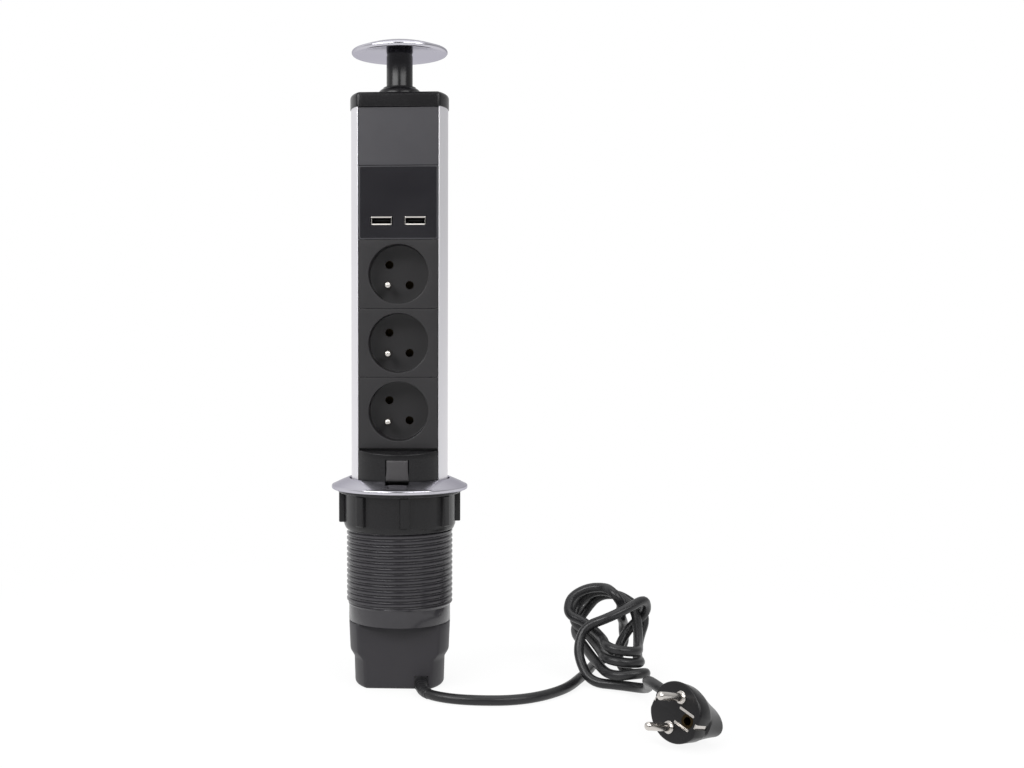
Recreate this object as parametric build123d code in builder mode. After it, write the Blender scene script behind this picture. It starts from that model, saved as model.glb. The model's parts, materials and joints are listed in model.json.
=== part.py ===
from build123d import *
import os
from math import cos, hypot, pi, radians, sin, sqrt, tan

# Pop-up socket tower. Millimetres, Z up, the axis of the column at x = y = 0, the base standing on
# z = 0 and the sockets facing -Y. The column is drawn raised, as it stands in use.

os.makedirs("parts", exist_ok=True)

# Driving dimensions of the column
column_radius = 32.2
column_wall = 1.8
lip_distance = 18.2
rabbet_half_width = 25.75
ledge_clearance = 0.8
ledge_depth = 1.8
screw_port_circle = 27.0
screw_port_radius = 3.6
screw_port_hole = 1.5
screw_port_angle = 32.0

# Front modules, counted up from the lowest socket
socket_count = 3
socket_height = 45.0
usb_height = 48.0
blank_height = 37.8
lowest_socket_z = 161.5
module_seam = 0.3
face_setback = 0.8
plate_thickness = 3.0
plate_side_gap = 0.15
plate_edge = 0.5

# Sockets
recess_margin = 3.0
recess_depth = 15.0
recess_wall = 1.7
socket_floor = 2.0
socket_base_half_width = 22.3
pin_spacing = 19.0
pin_hole_radius = 2.75
pin_line_angle = 45.0
earth_offset = 10.0
earth_pin_radius = 2.4
earth_pin_length = 14.0
earth_tail = 4.0
tower_radius = 4.7
tower_length = 11.4
sleeve_radius = 3.5
sleeve_bore = 2.5
sleeve_setback = 4.0
busbar_width = 7.0
busbar_thickness = 1.0
earth_strip_x = -14.9
earth_strip_width = 4.4
earth_strip_thickness = 0.8
rear_cover_depth = 16.0
rear_cover_wall = 1.6

# Charging module
usb_port_offset = 11.0
usb_port_rise = 12.15
usb_bezel_width = 14.6
usb_bezel_height = 5.6
usb_bezel_depth = 0.8
usb_bezel_setback = 0.2
usb_bezel_gap = 0.1
usb_mouth_width = 12.5
usb_mouth_height = 4.7
usb_shell_wall = 0.35
usb_shell_depth = 14.0
usb_tongue_width = 11.1
usb_tongue_height = 1.9
usb_tongue_rise = 0.6
usb_tongue_length = 9.0
usb_board_thickness = 1.6
usb_box_gap = 0.2
usb_box_depth = 22.0
usb_box_wall = 1.6

# Head of the column
cap_overhang = 0.45
cap_height = 7.6
cap_edge = 2.6
cap_apron = 2.1
cap_spigot_depth = 5.0
cap_fit = 0.25
dimple_radius = 0.9
collar_radius = 14.4
collar_height = 5.4
stem_radius = 8.65
stem_clearance = 0.07
knob_travel = 19.5
knob_radius = 31.7
knob_rim = 3.4
knob_thickness = 9.1
knob_gap = 1.5
knob_spigot_radius = 5.0
knob_spigot_height = 3.5
knob_spigot_gap = 0.05
stem_foot_radius = 10.9
stem_foot_height = 3.0
stem_foot_gap = 0.1
barrel_wall = 2.0
barrel_clearance = 0.4
barrel_floor = 2.0
spring_radius = 9.6
spring_wire = 1.2
spring_solid_height = 8.0

# Release latch
latch_drop = 3.0
latch_seam_setback = 0.5
latch_bottom_gap = 0.6
latch_radius = 31.9
latch_slope = 2.0
latch_gap = 0.3
tab_width = 14.9
tab_top_z = 153.0
tab_bottom_z = 139.5
tab_depth = 8.0
tab_travel = 3.0
tab_gap = 0.2
hook_bottom_z = 122.0
latch_box_half_width = 12.0
latch_box_back_y = 4.0
latch_spring_radius = 2.6

# Worktop sleeve, flange and nut
bore_radius = 33.0
thread_crest_radius = 35.5
plain_band_radius = 34.05
sleeve_bottom_z = 43.5
thread_bottom_z = 54.0
flange_bottom_z = 131.8
flange_plate_thickness = 2.4
ring_radius = 45.5
ring_wall = 1.6
ring_rim_height = 2.8
ring_height = 7.4
ring_edge = 0.6
ring_crown = 0.9
ring_inner_radius = 33.5
ring_fit = 0.1
keeper_gap = 0.2
keeper_radius = 38.0
gasket_thickness = 1.4
gasket_inner_radius = 35.7
gasket_outer_radius = 42.0
washer_thickness = 0.9
washer_outer_radius = 40.5
stack_gap = 0.1
nut_clearance = 0.08
nut_height = 23.8
nut_core_radius = 37.4
nut_foot_radius = 36.3
nut_foot_height = 3.0
wing_count = 8
wing_width = 6.0
wing_radius = 40.8
wing_height = 19.8
wing_angle = 7.5

# Base cup
base_flat = 20.5
base_corner = 3.5
base_bottom_radius = 29.85
base_lower_radius = 30.4
base_step_bottom_z = 18.5
base_step_top_z = 24.0
base_upper_bottom_radius = 33.2
base_upper_top_radius = 34.0
base_top_z = 43.2
base_floor = 2.5
base_wall = 1.8
base_edge = 4.0
base_fit = 0.2
outlet_x = 15.4
outlet_width = 9.0
outlet_height = 9.2
outlet_depth = 3.4
outlet_cord_z = 4.2
outlet_run = 10.0
outlet_turn = (4.4, -20.0)
grommet_gap = 0.1
grommet_nose = 1.5
grommet_nose_radius = 4.1

# Cord, hank and plug
cord_diameter = 6.6
cord_lift = 0.05
hank_entry_direction = (0.35, 0.94, 0.02)
hank_exit_direction = (0.7, -0.7, 0.08)
hank_sixths = 22
hank_lead = (
    (134.6, 40.0, 3.6),
    (143.5, 52.0, 5.2),
    (155.0, 53.0, 13.0),
    (155.5, 47.5, 28.5),
    (151.8, 30.5, 41.5),
)
hank_top = ((135.4, 35.5, 58.8), (4.6, 6.4, -3.7), (-1.9, -46.8, -1.0))
hank_left = ((115.2, 33.0, 47.2), (5.9, 12.0, -5.6), (-11.7, -63.8, -0.2))
hank_waist = ((129.2, 15.4, 38.1), (1.3, 5.6, -9.4), (-9.7, -36.2, 3.5))
hank_near = ((149.1, -16.2, 30.3), (1.3, -0.5, -7.6), (-1.2, -5.1, 1.0))
hank_right = ((161.1, 8.2, 33.6), (0.6, 6.7, -8.1), (-10.2, 4.5, 14.2))
hank_shoulder = ((150.6, 24.4, 52.1), (7.1, 12.8, -4.3), (-1.7, -31.3, 7.5))
hank_fold_turn = 2.0
hank_fold_span = 0.83
plug_face_centre = (163.3, -136.6, 20.5)
plug_pin_direction = (-0.747, -0.631, 0.210)
plug_line_direction = (-0.342, 0.093, -0.935)
plug_radius = 18.5
plug_flat = 17.2
plug_rim_depth = 9.0
plug_body_depth = 26.0
plug_back_length = 24.0
plug_back_width = 19.0
plug_pin_radius = 2.4
plug_pin_length = 19.0
plug_pin_seat = 6.0
plug_collar_radius = 3.7
plug_collar_height = 0.8
plug_earth_offset = 10.0
plug_earth_radius = 2.9
plug_earth_depth = 12.0
plug_strip_width = 5.0
plug_strip_length = 11.5
plug_strip_thickness = 0.8
plug_groove_depth = 1.6
boot_direction = (-0.36, 0.92, 0.12)
boot_inset = 12.0
boot_depth = 17.5
boot_length = 18.0
boot_root_radius = 5.6
boot_tip_radius = 4.5

# Heights, depths and radii that follow
face_y = face_setback - lip_distance
plate_back_y = face_y + plate_thickness
plate_half_width = rabbet_half_width - plate_side_gap
recess_radius = socket_height / 2 - recess_margin
ledge_half_width = recess_radius + recess_wall + ledge_clearance
recess_floor_y = face_y + recess_depth
socket_back_y = recess_floor_y + socket_floor
usb_bottom_z = lowest_socket_z + socket_count * socket_height
usb_port_z = usb_bottom_z + usb_port_rise
blank_bottom_z = usb_bottom_z + usb_height
cap_front_z = blank_bottom_z + blank_height
column_top = cap_front_z + cap_apron
cap_top_z = column_top + cap_height
collar_top_z = cap_top_z + collar_height
knob_underside_z = collar_top_z + knob_travel + knob_gap
flange_plate_radius = ring_radius - ring_wall - ring_fit
flange_top_z = flange_bottom_z + flange_plate_thickness
ring_top_z = flange_bottom_z + ring_height
gasket_bottom_z = flange_bottom_z - gasket_thickness
washer_bottom_z = gasket_bottom_z - stack_gap - washer_thickness
nut_top_z = washer_bottom_z - stack_gap
nut_bottom_z = nut_top_z - nut_height
nut_bore_radius = thread_crest_radius + nut_clearance
socket_centres = [lowest_socket_z + socket_height * (i + 0.5) for i in range(socket_count)]
pin_offset = pin_spacing / 2 * cos(radians(pin_line_angle))
pin_rise = pin_spacing / 2 * sin(radians(pin_line_angle))
earth_x = -earth_offset * sin(radians(pin_line_angle))
earth_drop = earth_offset * cos(radians(pin_line_angle))
cord_radius = cord_diameter / 2


def front_plane(y):
    """Sketch plane at the given y, seen from the front. Extruding by a negative amount goes back."""
    return Plane.XZ.offset(-y)


def cut_front(sketch, radius, flat, corner):
    """Cut the front off a round sketch at y = -flat and round the two corners that this leaves."""
    with Locations((0, -flat)):
        Rectangle(3 * radius, radius, align=(Align.CENTER, Align.MAX), mode=Mode.SUBTRACT)
    if corner > 0:
        fillet(sketch.vertices().sort_by(Axis.Y)[:2], corner)


def port_places():
    """Centres of the two screw ports at the back of the column."""
    reach = screw_port_circle * sin(radians(screw_port_angle))
    depth = screw_port_circle * cos(radians(screw_port_angle))
    return [(-reach, depth), (reach, depth)]


# Column extrusion: a D-shaped tube, open in front between two lips, with ledges for the modules
column_bottom_z = base_step_top_z
ledge_reach = sqrt(column_radius**2 - plate_back_y**2) - column_wall / 2
with BuildPart() as column_extrusion:
    with BuildSketch(Plane.XY.offset(column_bottom_z)):
        Circle(column_radius)
        Circle(column_radius - column_wall, mode=Mode.SUBTRACT)
        for side in (-1, 1):
            with Locations((side * (ledge_half_width + ledge_reach) / 2, plate_back_y + ledge_depth / 2)):
                Rectangle(ledge_reach - ledge_half_width, ledge_depth)
        with Locations(*port_places()):
            Circle(screw_port_radius)
        with Locations(*port_places()):
            Circle(screw_port_hole, mode=Mode.SUBTRACT)
        with Locations((0, -lip_distance)):
            Rectangle(3 * column_radius, column_radius, align=(Align.CENTER, Align.MAX), mode=Mode.SUBTRACT)
        with Locations((0, plate_back_y)):
            Rectangle(2 * rabbet_half_width, column_radius, align=(Align.CENTER, Align.MAX), mode=Mode.SUBTRACT)
    extrude(amount=column_top - column_bottom_z)
column_extrusion.part.label = "column_extrusion"
export_step(column_extrusion.part, "parts/column_extrusion.step")


# Blank panel above the charging module
with BuildPart() as blank_panel:
    panel_height = cap_front_z - blank_bottom_z - module_seam
    with BuildSketch(front_plane(face_y)):
        with Locations((0, blank_bottom_z + module_seam / 2 + panel_height / 2)):
            Rectangle(2 * plate_half_width, panel_height)
    extrude(amount=-plate_thickness)
    chamfer(blank_panel.faces().sort_by(Axis.Y)[0].edges(), plate_edge)
blank_panel.part.label = "blank_panel"
export_step(blank_panel.part, "parts/blank_panel.step")


# Charging module: face plate, rear box, board, and a shell with its tongue in each mouth
usb_centre_z = usb_bottom_z + usb_height / 2
usb_places = [(-usb_port_offset, usb_port_z), (usb_port_offset, usb_port_z)]
usb_mouth_y = face_y + usb_bezel_setback
usb_shell_y = usb_mouth_y + usb_bezel_depth
usb_shell_back_y = usb_shell_y + usb_shell_depth
usb_board_y = usb_shell_back_y + usb_shell_wall
usb_box_half_width = ledge_half_width - usb_box_gap
usb_inner_half_width = usb_box_half_width - usb_box_wall
usb_inner_height = usb_height - module_seam - 2 * usb_box_wall
with BuildPart() as usb_faceplate:
    with BuildSketch(front_plane(face_y)):
        with Locations((0, usb_centre_z)):
            Rectangle(2 * plate_half_width, usb_height - module_seam)
    extrude(amount=-plate_thickness)
    chamfer(usb_faceplate.faces().sort_by(Axis.Y)[0].edges(), plate_edge)
    with BuildSketch(front_plane(face_y)):
        with Locations(*usb_places):
            Rectangle(usb_bezel_width + 2 * usb_bezel_gap, usb_bezel_height + 2 * usb_bezel_gap)
    extrude(amount=-plate_thickness, mode=Mode.SUBTRACT)
usb_faceplate.part.label = "usb_faceplate"
export_step(usb_faceplate.part, "parts/usb_faceplate.step")

for number, place in enumerate(usb_places, start=1):
    with BuildPart() as usb_port:
        with BuildSketch(front_plane(usb_mouth_y)):
            with Locations(place):
                Rectangle(usb_bezel_width, usb_bezel_height)
                Rectangle(usb_mouth_width, usb_mouth_height, mode=Mode.SUBTRACT)
        extrude(amount=-usb_bezel_depth)
        with BuildSketch(front_plane(usb_shell_y)):
            with Locations(place):
                Rectangle(usb_mouth_width + 2 * usb_shell_wall, usb_mouth_height + 2 * usb_shell_wall)
                Rectangle(usb_mouth_width, usb_mouth_height, mode=Mode.SUBTRACT)
        extrude(amount=-usb_shell_depth)
        with BuildSketch(front_plane(usb_shell_back_y)):
            with Locations(place):
                Rectangle(usb_mouth_width + 2 * usb_shell_wall, usb_mouth_height + 2 * usb_shell_wall)
        extrude(amount=-usb_shell_wall)
    usb_port.part.label = f"usb_port_{number}"
    export_step(usb_port.part, f"parts/usb_port_{number}.step")

    with BuildPart() as usb_tongue:
        with BuildSketch(front_plane(usb_shell_back_y)):
            with Locations((place[0], place[1] + usb_tongue_rise)):
                Rectangle(usb_tongue_width, usb_tongue_height)
        extrude(amount=usb_tongue_length)
    usb_tongue.part.label = f"usb_tongue_{number}"
    export_step(usb_tongue.part, f"parts/usb_tongue_{number}.step")

with BuildPart() as usb_board:
    with BuildSketch(front_plane(usb_board_y)):
        with Locations((0, usb_centre_z)):
            Rectangle(2 * (usb_inner_half_width - usb_box_gap), usb_inner_height - 2 * usb_box_gap)
    extrude(amount=-usb_board_thickness)
usb_board.part.label = "usb_board"
export_step(usb_board.part, "parts/usb_board.step")

with BuildPart() as usb_box:
    with BuildSketch(front_plane(plate_back_y)):
        with Locations((0, usb_centre_z)):
            Rectangle(2 * usb_box_half_width, usb_height - module_seam)
    extrude(amount=-usb_box_depth)
    with BuildSketch(front_plane(plate_back_y)):
        with Locations((0, usb_centre_z)):
            Rectangle(2 * usb_inner_half_width, usb_inner_height)
    extrude(amount=-(usb_box_depth - usb_box_wall), mode=Mode.SUBTRACT)
usb_box.part.label = "usb_box"
export_step(usb_box.part, "parts/usb_box.step")


# Sockets: a face plate with a deep round recess, contact towers behind its floor, and an earth pin
for number, centre_z in enumerate(socket_centres, start=1):
    pin_places = [(-pin_offset, centre_z + pin_rise), (pin_offset, centre_z - pin_rise)]
    earth_place = (earth_x, centre_z - earth_drop)
    with BuildPart() as socket_body:
        with BuildSketch(front_plane(face_y)):
            with Locations((0, centre_z)):
                Rectangle(2 * plate_half_width, socket_height - module_seam)
        extrude(amount=-plate_thickness)
        chamfer(socket_body.faces().sort_by(Axis.Y)[0].edges(), plate_edge)
        with BuildSketch(front_plane(plate_back_y)):
            with Locations((0, centre_z)):
                Circle(recess_radius + recess_wall)
        extrude(amount=-(socket_back_y - plate_back_y))
        with BuildSketch(front_plane(recess_floor_y)):
            with Locations((0, centre_z)):
                Rectangle(2 * socket_base_half_width, socket_height - module_seam)
        extrude(amount=-socket_floor)
        with BuildSketch(front_plane(face_y)):
            with Locations((0, centre_z)):
                Circle(recess_radius)
        extrude(amount=-recess_depth, mode=Mode.SUBTRACT)
        with BuildSketch(front_plane(socket_back_y)):
            with Locations(*pin_places):
                Circle(tower_radius)
        extrude(amount=-tower_length)
        with BuildSketch(front_plane(socket_back_y + tower_length)):
            with Locations(*pin_places):
                Circle(sleeve_radius + cap_fit)
        extrude(amount=tower_length, mode=Mode.SUBTRACT)
        with BuildSketch(front_plane(recess_floor_y)):
            with Locations(*pin_places):
                Circle(pin_hole_radius)
            with Locations(earth_place):
                Circle(earth_pin_radius)
        extrude(amount=-socket_floor, mode=Mode.SUBTRACT)
    socket_body.part.label = f"socket_body_{number}"
    export_step(socket_body.part, f"parts/socket_body_{number}.step")

    with BuildPart() as earth_pin:
        with BuildSketch(front_plane(socket_back_y + earth_tail)):
            with Locations(earth_place):
                Circle(earth_pin_radius)
        extrude(amount=earth_tail + socket_floor + earth_pin_length)
        fillet(earth_pin.faces().sort_by(Axis.Y)[0].edges(), 0.8 * earth_pin_radius)
    earth_pin.part.label = f"earth_pin_{number}"
    export_step(earth_pin.part, f"parts/earth_pin_{number}.step")

# Busbars: a strip behind the sockets with one contact sleeve for each pin
bar_y = socket_back_y + tower_length + stack_gap
for name, bar_x, rise in (("live_busbar", -pin_offset, pin_rise), ("neutral_busbar", pin_offset, -pin_rise)):
    with BuildPart() as busbar:
        with BuildSketch(front_plane(bar_y)):
            with Locations((bar_x, (socket_centres[0] + socket_centres[-1]) / 2 + rise)):
                Rectangle(busbar_width, socket_centres[-1] - socket_centres[0] + 2 * sleeve_radius)
        extrude(amount=-busbar_thickness)
        with BuildSketch(front_plane(bar_y)):
            with Locations(*[(bar_x, centre_z + rise) for centre_z in socket_centres]):
                Circle(sleeve_radius)
                Circle(sleeve_bore, mode=Mode.SUBTRACT)
        extrude(amount=tower_length + stack_gap - sleeve_setback)
    busbar.part.label = name
    export_step(busbar.part, f"parts/{name}.step")

# Earth strip: runs beside the towers and reaches each earth pin with an arm that its tail goes through
arm_length = abs(earth_strip_x - earth_x) + earth_strip_width
with BuildPart() as earth_strip:
    with BuildSketch(front_plane(socket_back_y + earth_tail / 2)):
        with Locations((earth_strip_x, (socket_centres[0] + socket_centres[-1]) / 2 - earth_drop)):
            Rectangle(earth_strip_width, socket_centres[-1] - socket_centres[0] + 2 * earth_pin_radius + 2)
        for centre_z in socket_centres:
            with Locations(((earth_strip_x + earth_x) / 2, centre_z - earth_drop)):
                Rectangle(arm_length + earth_strip_width / 2, 2 * earth_pin_radius + 2)
        for centre_z in socket_centres:
            with Locations((earth_x, centre_z - earth_drop)):
                Circle(earth_pin_radius, mode=Mode.SUBTRACT)
    extrude(amount=-earth_strip_thickness)
earth_strip.part.label = "earth_strip"
export_step(earth_strip.part, "parts/earth_strip.step")

# Rear cover: a long tub that closes the backs of the three sockets
cover_bottom_z = lowest_socket_z + module_seam / 2
cover_height = socket_count * socket_height - module_seam
with BuildPart() as rear_cover:
    with BuildSketch(front_plane(socket_back_y)):
        with Locations((0, cover_bottom_z + cover_height / 2)):
            Rectangle(2 * socket_base_half_width, cover_height)
    extrude(amount=-rear_cover_depth)
    with BuildSketch(front_plane(socket_back_y)):
        with Locations((0, cover_bottom_z + cover_height / 2)):
            Rectangle(2 * (socket_base_half_width - rear_cover_wall), cover_height - 2 * rear_cover_wall)
    extrude(amount=-(rear_cover_depth - rear_cover_wall), mode=Mode.SUBTRACT)
    chamfer(rear_cover.faces().sort_by(Axis.Y)[-1].edges().filter_by(Axis.Z), rear_cover_wall)
rear_cover.part.label = "rear_cover"
export_step(rear_cover.part, "parts/rear_cover.step")


# Top cap: a D-shaped lid with a rounded top edge, an apron over the panel and a spigot in the column
barrel_bore = stem_foot_radius + barrel_clearance
barrel_radius = barrel_bore + barrel_wall
with BuildPart() as top_cap:
    with BuildSketch(Plane.XY.offset(column_top)) as cap_sketch:
        Circle(column_radius + cap_overhang)
        cut_front(cap_sketch, column_radius, lip_distance + cap_overhang, cap_overhang)
    extrude(amount=cap_height)
    fillet(top_cap.faces().sort_by(Axis.Z)[-1].edges(), cap_edge)
    with BuildSketch(Plane.XY.offset(cap_front_z)):
        with Locations((0, -lip_distance - cap_overhang)):
            Rectangle(2 * plate_half_width, plate_thickness + face_setback + cap_overhang,
                      align=(Align.CENTER, Align.MIN))
    extrude(amount=cap_apron)
    with BuildSketch(Plane.XY.offset(column_top - cap_spigot_depth)) as spigot_sketch:
        Circle(column_radius - column_wall - cap_fit)
        cut_front(spigot_sketch, column_radius, -plate_back_y - ledge_depth - cap_fit, 0)
        Circle(barrel_radius + cap_fit, mode=Mode.SUBTRACT)
        with Locations(*port_places()):
            Circle(screw_port_radius + cap_fit, mode=Mode.SUBTRACT)
    extrude(amount=cap_spigot_depth)
    with BuildSketch(Plane.XY.offset(column_top)):
        Circle(stem_radius + stem_clearance)
    extrude(amount=cap_height, mode=Mode.SUBTRACT)
    with BuildSketch(front_plane(-lip_distance - cap_overhang)):
        with Locations((0, column_top + cap_height / 3)):
            Circle(dimple_radius)
    extrude(amount=-dimple_radius, mode=Mode.SUBTRACT)
top_cap.part.label = "top_cap"
export_step(top_cap.part, "parts/top_cap.step")

# Stem collar: a domed ring on the cap that guides the stem
with BuildPart() as stem_collar:
    with BuildSketch(Plane.XZ):
        with BuildLine():
            bore = stem_radius + stem_clearance
            foot = Line((bore, cap_top_z), (collar_radius, cap_top_z))
            wall = Line(foot @ 1, (collar_radius, cap_top_z + collar_height / 4))
            crown = (bore + (collar_radius - bore) * 0.72, cap_top_z + collar_height * 0.8)
            dome = ThreePointArc(wall @ 1, crown, (bore + column_wall / 2, collar_top_z))
            lip = Line(dome @ 1, (bore, collar_top_z))
            Line(lip @ 1, foot @ 0)
        make_face()
    revolve(axis=Axis.Z)
stem_collar.part.label = "stem_collar"
export_step(stem_collar.part, "parts/stem_collar.step")

# Knob: a domed disc on a stem whose wider foot runs in a closed barrel on a spring
foot_top_z = column_top - stem_foot_gap
foot_bottom_z = foot_top_z - stem_foot_height
barrel_floor_z = foot_bottom_z - knob_travel - spring_solid_height
with BuildPart() as knob_disc:
    with BuildSketch(Plane.XZ):
        with BuildLine():
            edge = knob_rim / 2
            rise = knob_thickness - knob_rim
            flat_radius = knob_radius - edge
            sphere = (flat_radius**2 + rise**2) / (2 * rise)
            middle_z = knob_underside_z + knob_thickness - sphere + sqrt(sphere**2 - flat_radius**2 / 4)
            under = Line((0, knob_underside_z), (flat_radius, knob_underside_z))
            rim = ThreePointArc(under @ 1, (knob_radius, knob_underside_z + edge),
                                (flat_radius, knob_underside_z + knob_rim))
            dome = ThreePointArc(rim @ 1, (flat_radius / 2, middle_z), (0, knob_underside_z + knob_thickness))
            Line(dome @ 1, under @ 0)
        make_face()
    revolve(axis=Axis.Z)
    with BuildSketch(Plane.XY.offset(knob_underside_z)):
        Circle(knob_spigot_radius + knob_spigot_gap)
    extrude(amount=knob_spigot_height + knob_spigot_gap, mode=Mode.SUBTRACT)
knob_disc.part.label = "knob_disc"
export_step(knob_disc.part, "parts/knob_disc.step")

with BuildPart() as knob_stem:
    with BuildSketch(Plane.XY.offset(foot_bottom_z)):
        Circle(stem_foot_radius)
    extrude(amount=stem_foot_height)
    with BuildSketch(Plane.XY.offset(foot_top_z)):
        Circle(stem_radius)
    extrude(amount=knob_underside_z - foot_top_z)
    with BuildSketch(Plane.XY.offset(knob_underside_z)):
        Circle(knob_spigot_radius)
    extrude(amount=knob_spigot_height)
knob_stem.part.label = "knob_stem"
export_step(knob_stem.part, "parts/knob_stem.step")

with BuildPart() as stem_spring:
    with BuildSketch(Plane.XY.offset(barrel_floor_z)):
        Circle(spring_radius + spring_wire / 2)
        Circle(spring_radius - spring_wire / 2, mode=Mode.SUBTRACT)
    extrude(amount=foot_bottom_z - barrel_floor_z)
stem_spring.part.label = "stem_spring"
export_step(stem_spring.part, "parts/stem_spring.step")

with BuildPart() as stem_barrel:
    with BuildSketch(Plane.XY.offset(barrel_floor_z - barrel_floor)):
        Circle(barrel_radius)
    extrude(amount=column_top - barrel_floor_z + barrel_floor)
    with BuildSketch(Plane.XY.offset(barrel_floor_z)):
        Circle(barrel_bore)
    extrude(amount=column_top - barrel_floor_z, mode=Mode.SUBTRACT)
stem_barrel.part.label = "stem_barrel"
export_step(stem_barrel.part, "parts/stem_barrel.step")


# Latch carrier: fills the open front of the column below the sockets and carries the release tab
latch_top_z = lowest_socket_z - latch_drop
latch_back_top_z = lowest_socket_z - module_seam / 2
latch_bottom_z = base_top_z + latch_bottom_gap
latch_front_y = -lip_distance - latch_gap
tab_half = tab_width / 2
pocket_back_y = -latch_radius + tab_depth + tab_travel + tab_gap
with BuildPart() as latch_carrier:
    with BuildSketch(Plane.XY.offset(latch_bottom_z)):
        Circle(latch_radius)
        with Locations((0, latch_front_y)):
            Rectangle(3 * latch_radius, 3 * latch_radius, align=(Align.CENTER, Align.MIN), mode=Mode.SUBTRACT)
        with Locations((0, latch_front_y)):
            Rectangle(2 * plate_half_width, plate_back_y - latch_front_y, align=(Align.CENTER, Align.MIN))
        with Locations((0, plate_back_y)):
            Rectangle(2 * latch_box_half_width, latch_box_back_y - plate_back_y,
                      align=(Align.CENTER, Align.MIN))
    extrude(amount=latch_top_z - latch_bottom_z)
    with BuildSketch(Plane.YZ):
        with BuildLine():
            slope = Line((latch_front_y, latch_top_z), (-latch_radius - 1, latch_top_z - latch_slope))
            back = Line(slope @ 1, (-latch_radius - 1, latch_top_z + 1))
            top = Line(back @ 1, (latch_front_y, latch_top_z + 1))
            Line(top @ 1, slope @ 0)
        make_face()
    extrude(amount=latch_radius, both=True, mode=Mode.SUBTRACT)
    with BuildSketch(Plane.XY.offset(latch_top_z)):
        with Locations((0, face_y + latch_seam_setback)):
            Rectangle(2 * plate_half_width, plate_thickness - latch_seam_setback,
                      align=(Align.CENTER, Align.MIN))
    extrude(amount=latch_back_top_z - latch_top_z)
    with BuildSketch(Plane.XY.offset(hook_bottom_z - tab_gap)):
        with Locations((0, pocket_back_y)):
            Rectangle(tab_width + 2 * tab_gap, latch_radius, align=(Align.CENTER, Align.MAX))
    extrude(amount=tab_top_z - hook_bottom_z + 2 * tab_gap, mode=Mode.SUBTRACT)
    with BuildSketch(front_plane(pocket_back_y)):
        with Locations((0, (tab_top_z + hook_bottom_z) / 2)):
            Circle(latch_spring_radius + cap_fit)
    extrude(amount=-(latch_box_back_y - 2 - pocket_back_y), mode=Mode.SUBTRACT)
latch_carrier.part.label = "latch_carrier"
export_step(latch_carrier.part, "parts/latch_carrier.step")

# Release button and the hook below it, which share the round of the carrier
latch_heights = (("latch_hook", hook_bottom_z, tab_bottom_z), ("release_button", tab_bottom_z, tab_top_z))
for name, low_z, high_z in latch_heights:
    with BuildPart() as latch_piece:
        with BuildSketch(Plane.XY.offset(low_z)):
            Circle(latch_radius)
            with Locations((0, -latch_radius + tab_depth)):
                Rectangle(3 * latch_radius, 3 * latch_radius, align=(Align.CENTER, Align.MIN), mode=Mode.SUBTRACT)
            Rectangle(tab_width, 3 * latch_radius, mode=Mode.INTERSECT)
        extrude(amount=high_z - low_z)
    latch_piece.part.label = name
    export_step(latch_piece.part, f"parts/{name}.step")


# Worktop sleeve: the outside of its thread as one plain round, a plain band below, a flange on top
with BuildPart() as threaded_sleeve:
    with BuildSketch(Plane.XZ):
        with BuildLine():
            Polyline(
                (bore_radius, sleeve_bottom_z),
                (plain_band_radius, sleeve_bottom_z),
                (plain_band_radius, thread_bottom_z),
                (thread_crest_radius, thread_bottom_z + thread_crest_radius - plain_band_radius),
                (thread_crest_radius, flange_bottom_z),
                (flange_plate_radius, flange_bottom_z),
                (flange_plate_radius, flange_top_z),
                (bore_radius, flange_top_z),
                close=True,
            )
        make_face()
    revolve(axis=Axis.Z)
threaded_sleeve.part.label = "threaded_sleeve"
export_step(threaded_sleeve.part, "parts/threaded_sleeve.step")

# Flange ring: a domed metal trim over the flange, notched inside at the front for the latch
with BuildPart() as flange_ring:
    with BuildSketch(Plane.XZ):
        with BuildLine():
            rim_top_z = flange_bottom_z + ring_rim_height
            inner_edge = ring_inner_radius + ring_edge
            side = Polyline(
                (ring_inner_radius, flange_top_z),
                (flange_plate_radius + ring_fit, flange_top_z),
                (flange_plate_radius + ring_fit, flange_bottom_z),
                (ring_radius - ring_edge, flange_bottom_z),
                (ring_radius, flange_bottom_z + ring_edge),
                (ring_radius, rim_top_z - ring_edge),
                (ring_radius - ring_edge, rim_top_z),
            )
            span = ring_radius - ring_edge - inner_edge
            fall = ring_top_z - rim_top_z
            chord = hypot(span, fall)
            crown_point = (inner_edge + span / 2 + ring_crown * fall / chord,
                           rim_top_z + fall / 2 + ring_crown * span / chord)
            dome = ThreePointArc(side @ 1, crown_point, (inner_edge, ring_top_z))
            bevel = Line(dome @ 1, (ring_inner_radius, ring_top_z - ring_edge))
            Line(bevel @ 1, side @ 0)
        make_face()
    revolve(axis=Axis.Z)
    with BuildSketch(Plane.XY.offset(flange_top_z)):
        with Locations((0, -keeper_radius)):
            Rectangle(tab_width + 2 * keeper_gap, keeper_radius, align=(Align.CENTER, Align.MIN))
    extrude(amount=ring_height, mode=Mode.SUBTRACT)
flange_ring.part.label = "flange_ring"
export_step(flange_ring.part, "parts/flange_ring.step")

for name, inner, outer, low_z, height in (
    ("flange_gasket", gasket_inner_radius, gasket_outer_radius, gasket_bottom_z, gasket_thickness),
    ("slip_washer", nut_bore_radius, washer_outer_radius, washer_bottom_z, washer_thickness),
):
    with BuildPart() as flat_ring:
        with BuildSketch(Plane.XY.offset(low_z)):
            Circle(outer)
            Circle(inner, mode=Mode.SUBTRACT)
        extrude(amount=height)
    flat_ring.part.label = name
    export_step(flat_ring.part, f"parts/{name}.step")

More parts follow.
